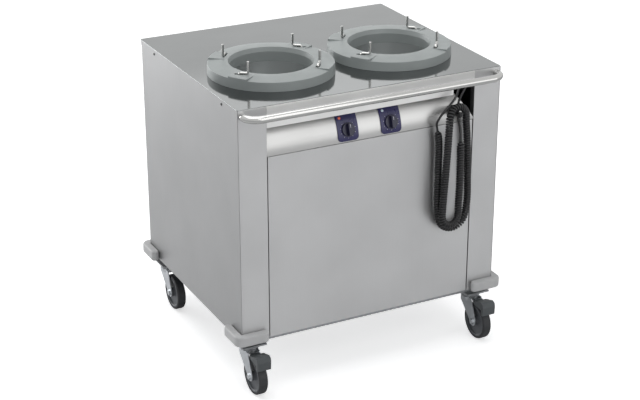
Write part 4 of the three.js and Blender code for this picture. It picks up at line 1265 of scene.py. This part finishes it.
print("floor:", tuple(round(size, 1) for size in floor.dimensions))

# %% [markdown]
# ## Surround
# The surround is white for the camera and in reflections, and a softer grey for the light that it
# throws on the cart. A light path node tells the two apart.

# %% Surround
world = bpy.data.worlds.new("surround")
scene.world = world
world.use_nodes = True
world_nodes = world.node_tree.nodes
world_links = world.node_tree.links
world_nodes.clear()
output = world_nodes.new("ShaderNodeOutputWorld")
path = world_nodes.new("ShaderNodeLightPath")
white = world_nodes.new("ShaderNodeBackground")
white.inputs["Color"].default_value = (1, 1, 1, 1)
white.inputs["Strength"].default_value = 1.0
fill = world_nodes.new("ShaderNodeBackground")
fill.inputs["Color"].default_value = (0.80, 0.82, 0.85, 1)
fill.inputs["Strength"].default_value = 0.32
mix = world_nodes.new("ShaderNodeMixShader")
seen = world_nodes.new("ShaderNodeMath")
seen.operation = "MAXIMUM"
world_links.new(path.outputs["Is Camera Ray"], seen.inputs[0])
world_links.new(path.outputs["Is Glossy Ray"], seen.inputs[1])
world_links.new(seen.outputs["Value"], mix.inputs["Fac"])
world_links.new(fill.outputs["Background"], mix.inputs[1])
world_links.new(white.outputs["Background"], mix.inputs[2])
world_links.new(mix.outputs["Shader"], output.inputs["Surface"])
print("surround nodes:", len(world_nodes))

# %% [markdown]
# ## Lights
# Steel shows what it mirrors, so each large face has its own soft light where the camera sees it
# reflected: the left side mirrors the one behind on the left, the front mirrors the one ahead on
# the right, and the worktop mirrors the weak one at the back. A broad light overhead fills the
# tops, and a small one near the front lifts the fascia and the lead.

# %% Lights
def soft_light(name, place, aim, size, power):
    data = bpy.data.lights.new(name, "AREA")
    data.shape = "RECTANGLE"
    data.size, data.size_y = size
    data.energy = power
    made = bpy.data.objects.new(name, data)
    scene.collection.objects.link(made)
    made.location = place
    made.rotation_mode = "QUATERNION"
    made.rotation_quaternion = (Vector(aim) - Vector(place)).to_track_quat("-Z", "Y")


soft_light("top_light", (-0.4, 0.2, 4.0), (0, 0, 0.9), (3.5, 3.5), 75)
soft_light("left_light", (-2.7, 6.4, 1.6), (0, 0, 1.2), (5.0, 3.2), 280)
soft_light("front_light", (2.9, -5.6, 1.6), (0, 0, 1.2), (5.0, 3.2), 55)
soft_light("near_light", (0.2, -2.2, 2.2), (0, -0.37, 0.8), (1.6, 0.8), 6)
soft_light("back_light", (1.85, 4.0, 3.25), (1.85, 0, 3.25), (2.1, 1.5), 4)
scene.view_settings.view_transform = "Standard"
print("lights:", sorted(light.name for light in bpy.data.lights))

# %% [markdown]
# ## Nodes left showing
# The imported nodes that no new piece replaces still show, and their names are printed.

# %% Nodes left showing
print("left showing:", sorted(n for n, o in frame["nodes"].items() if not o.hide_render))
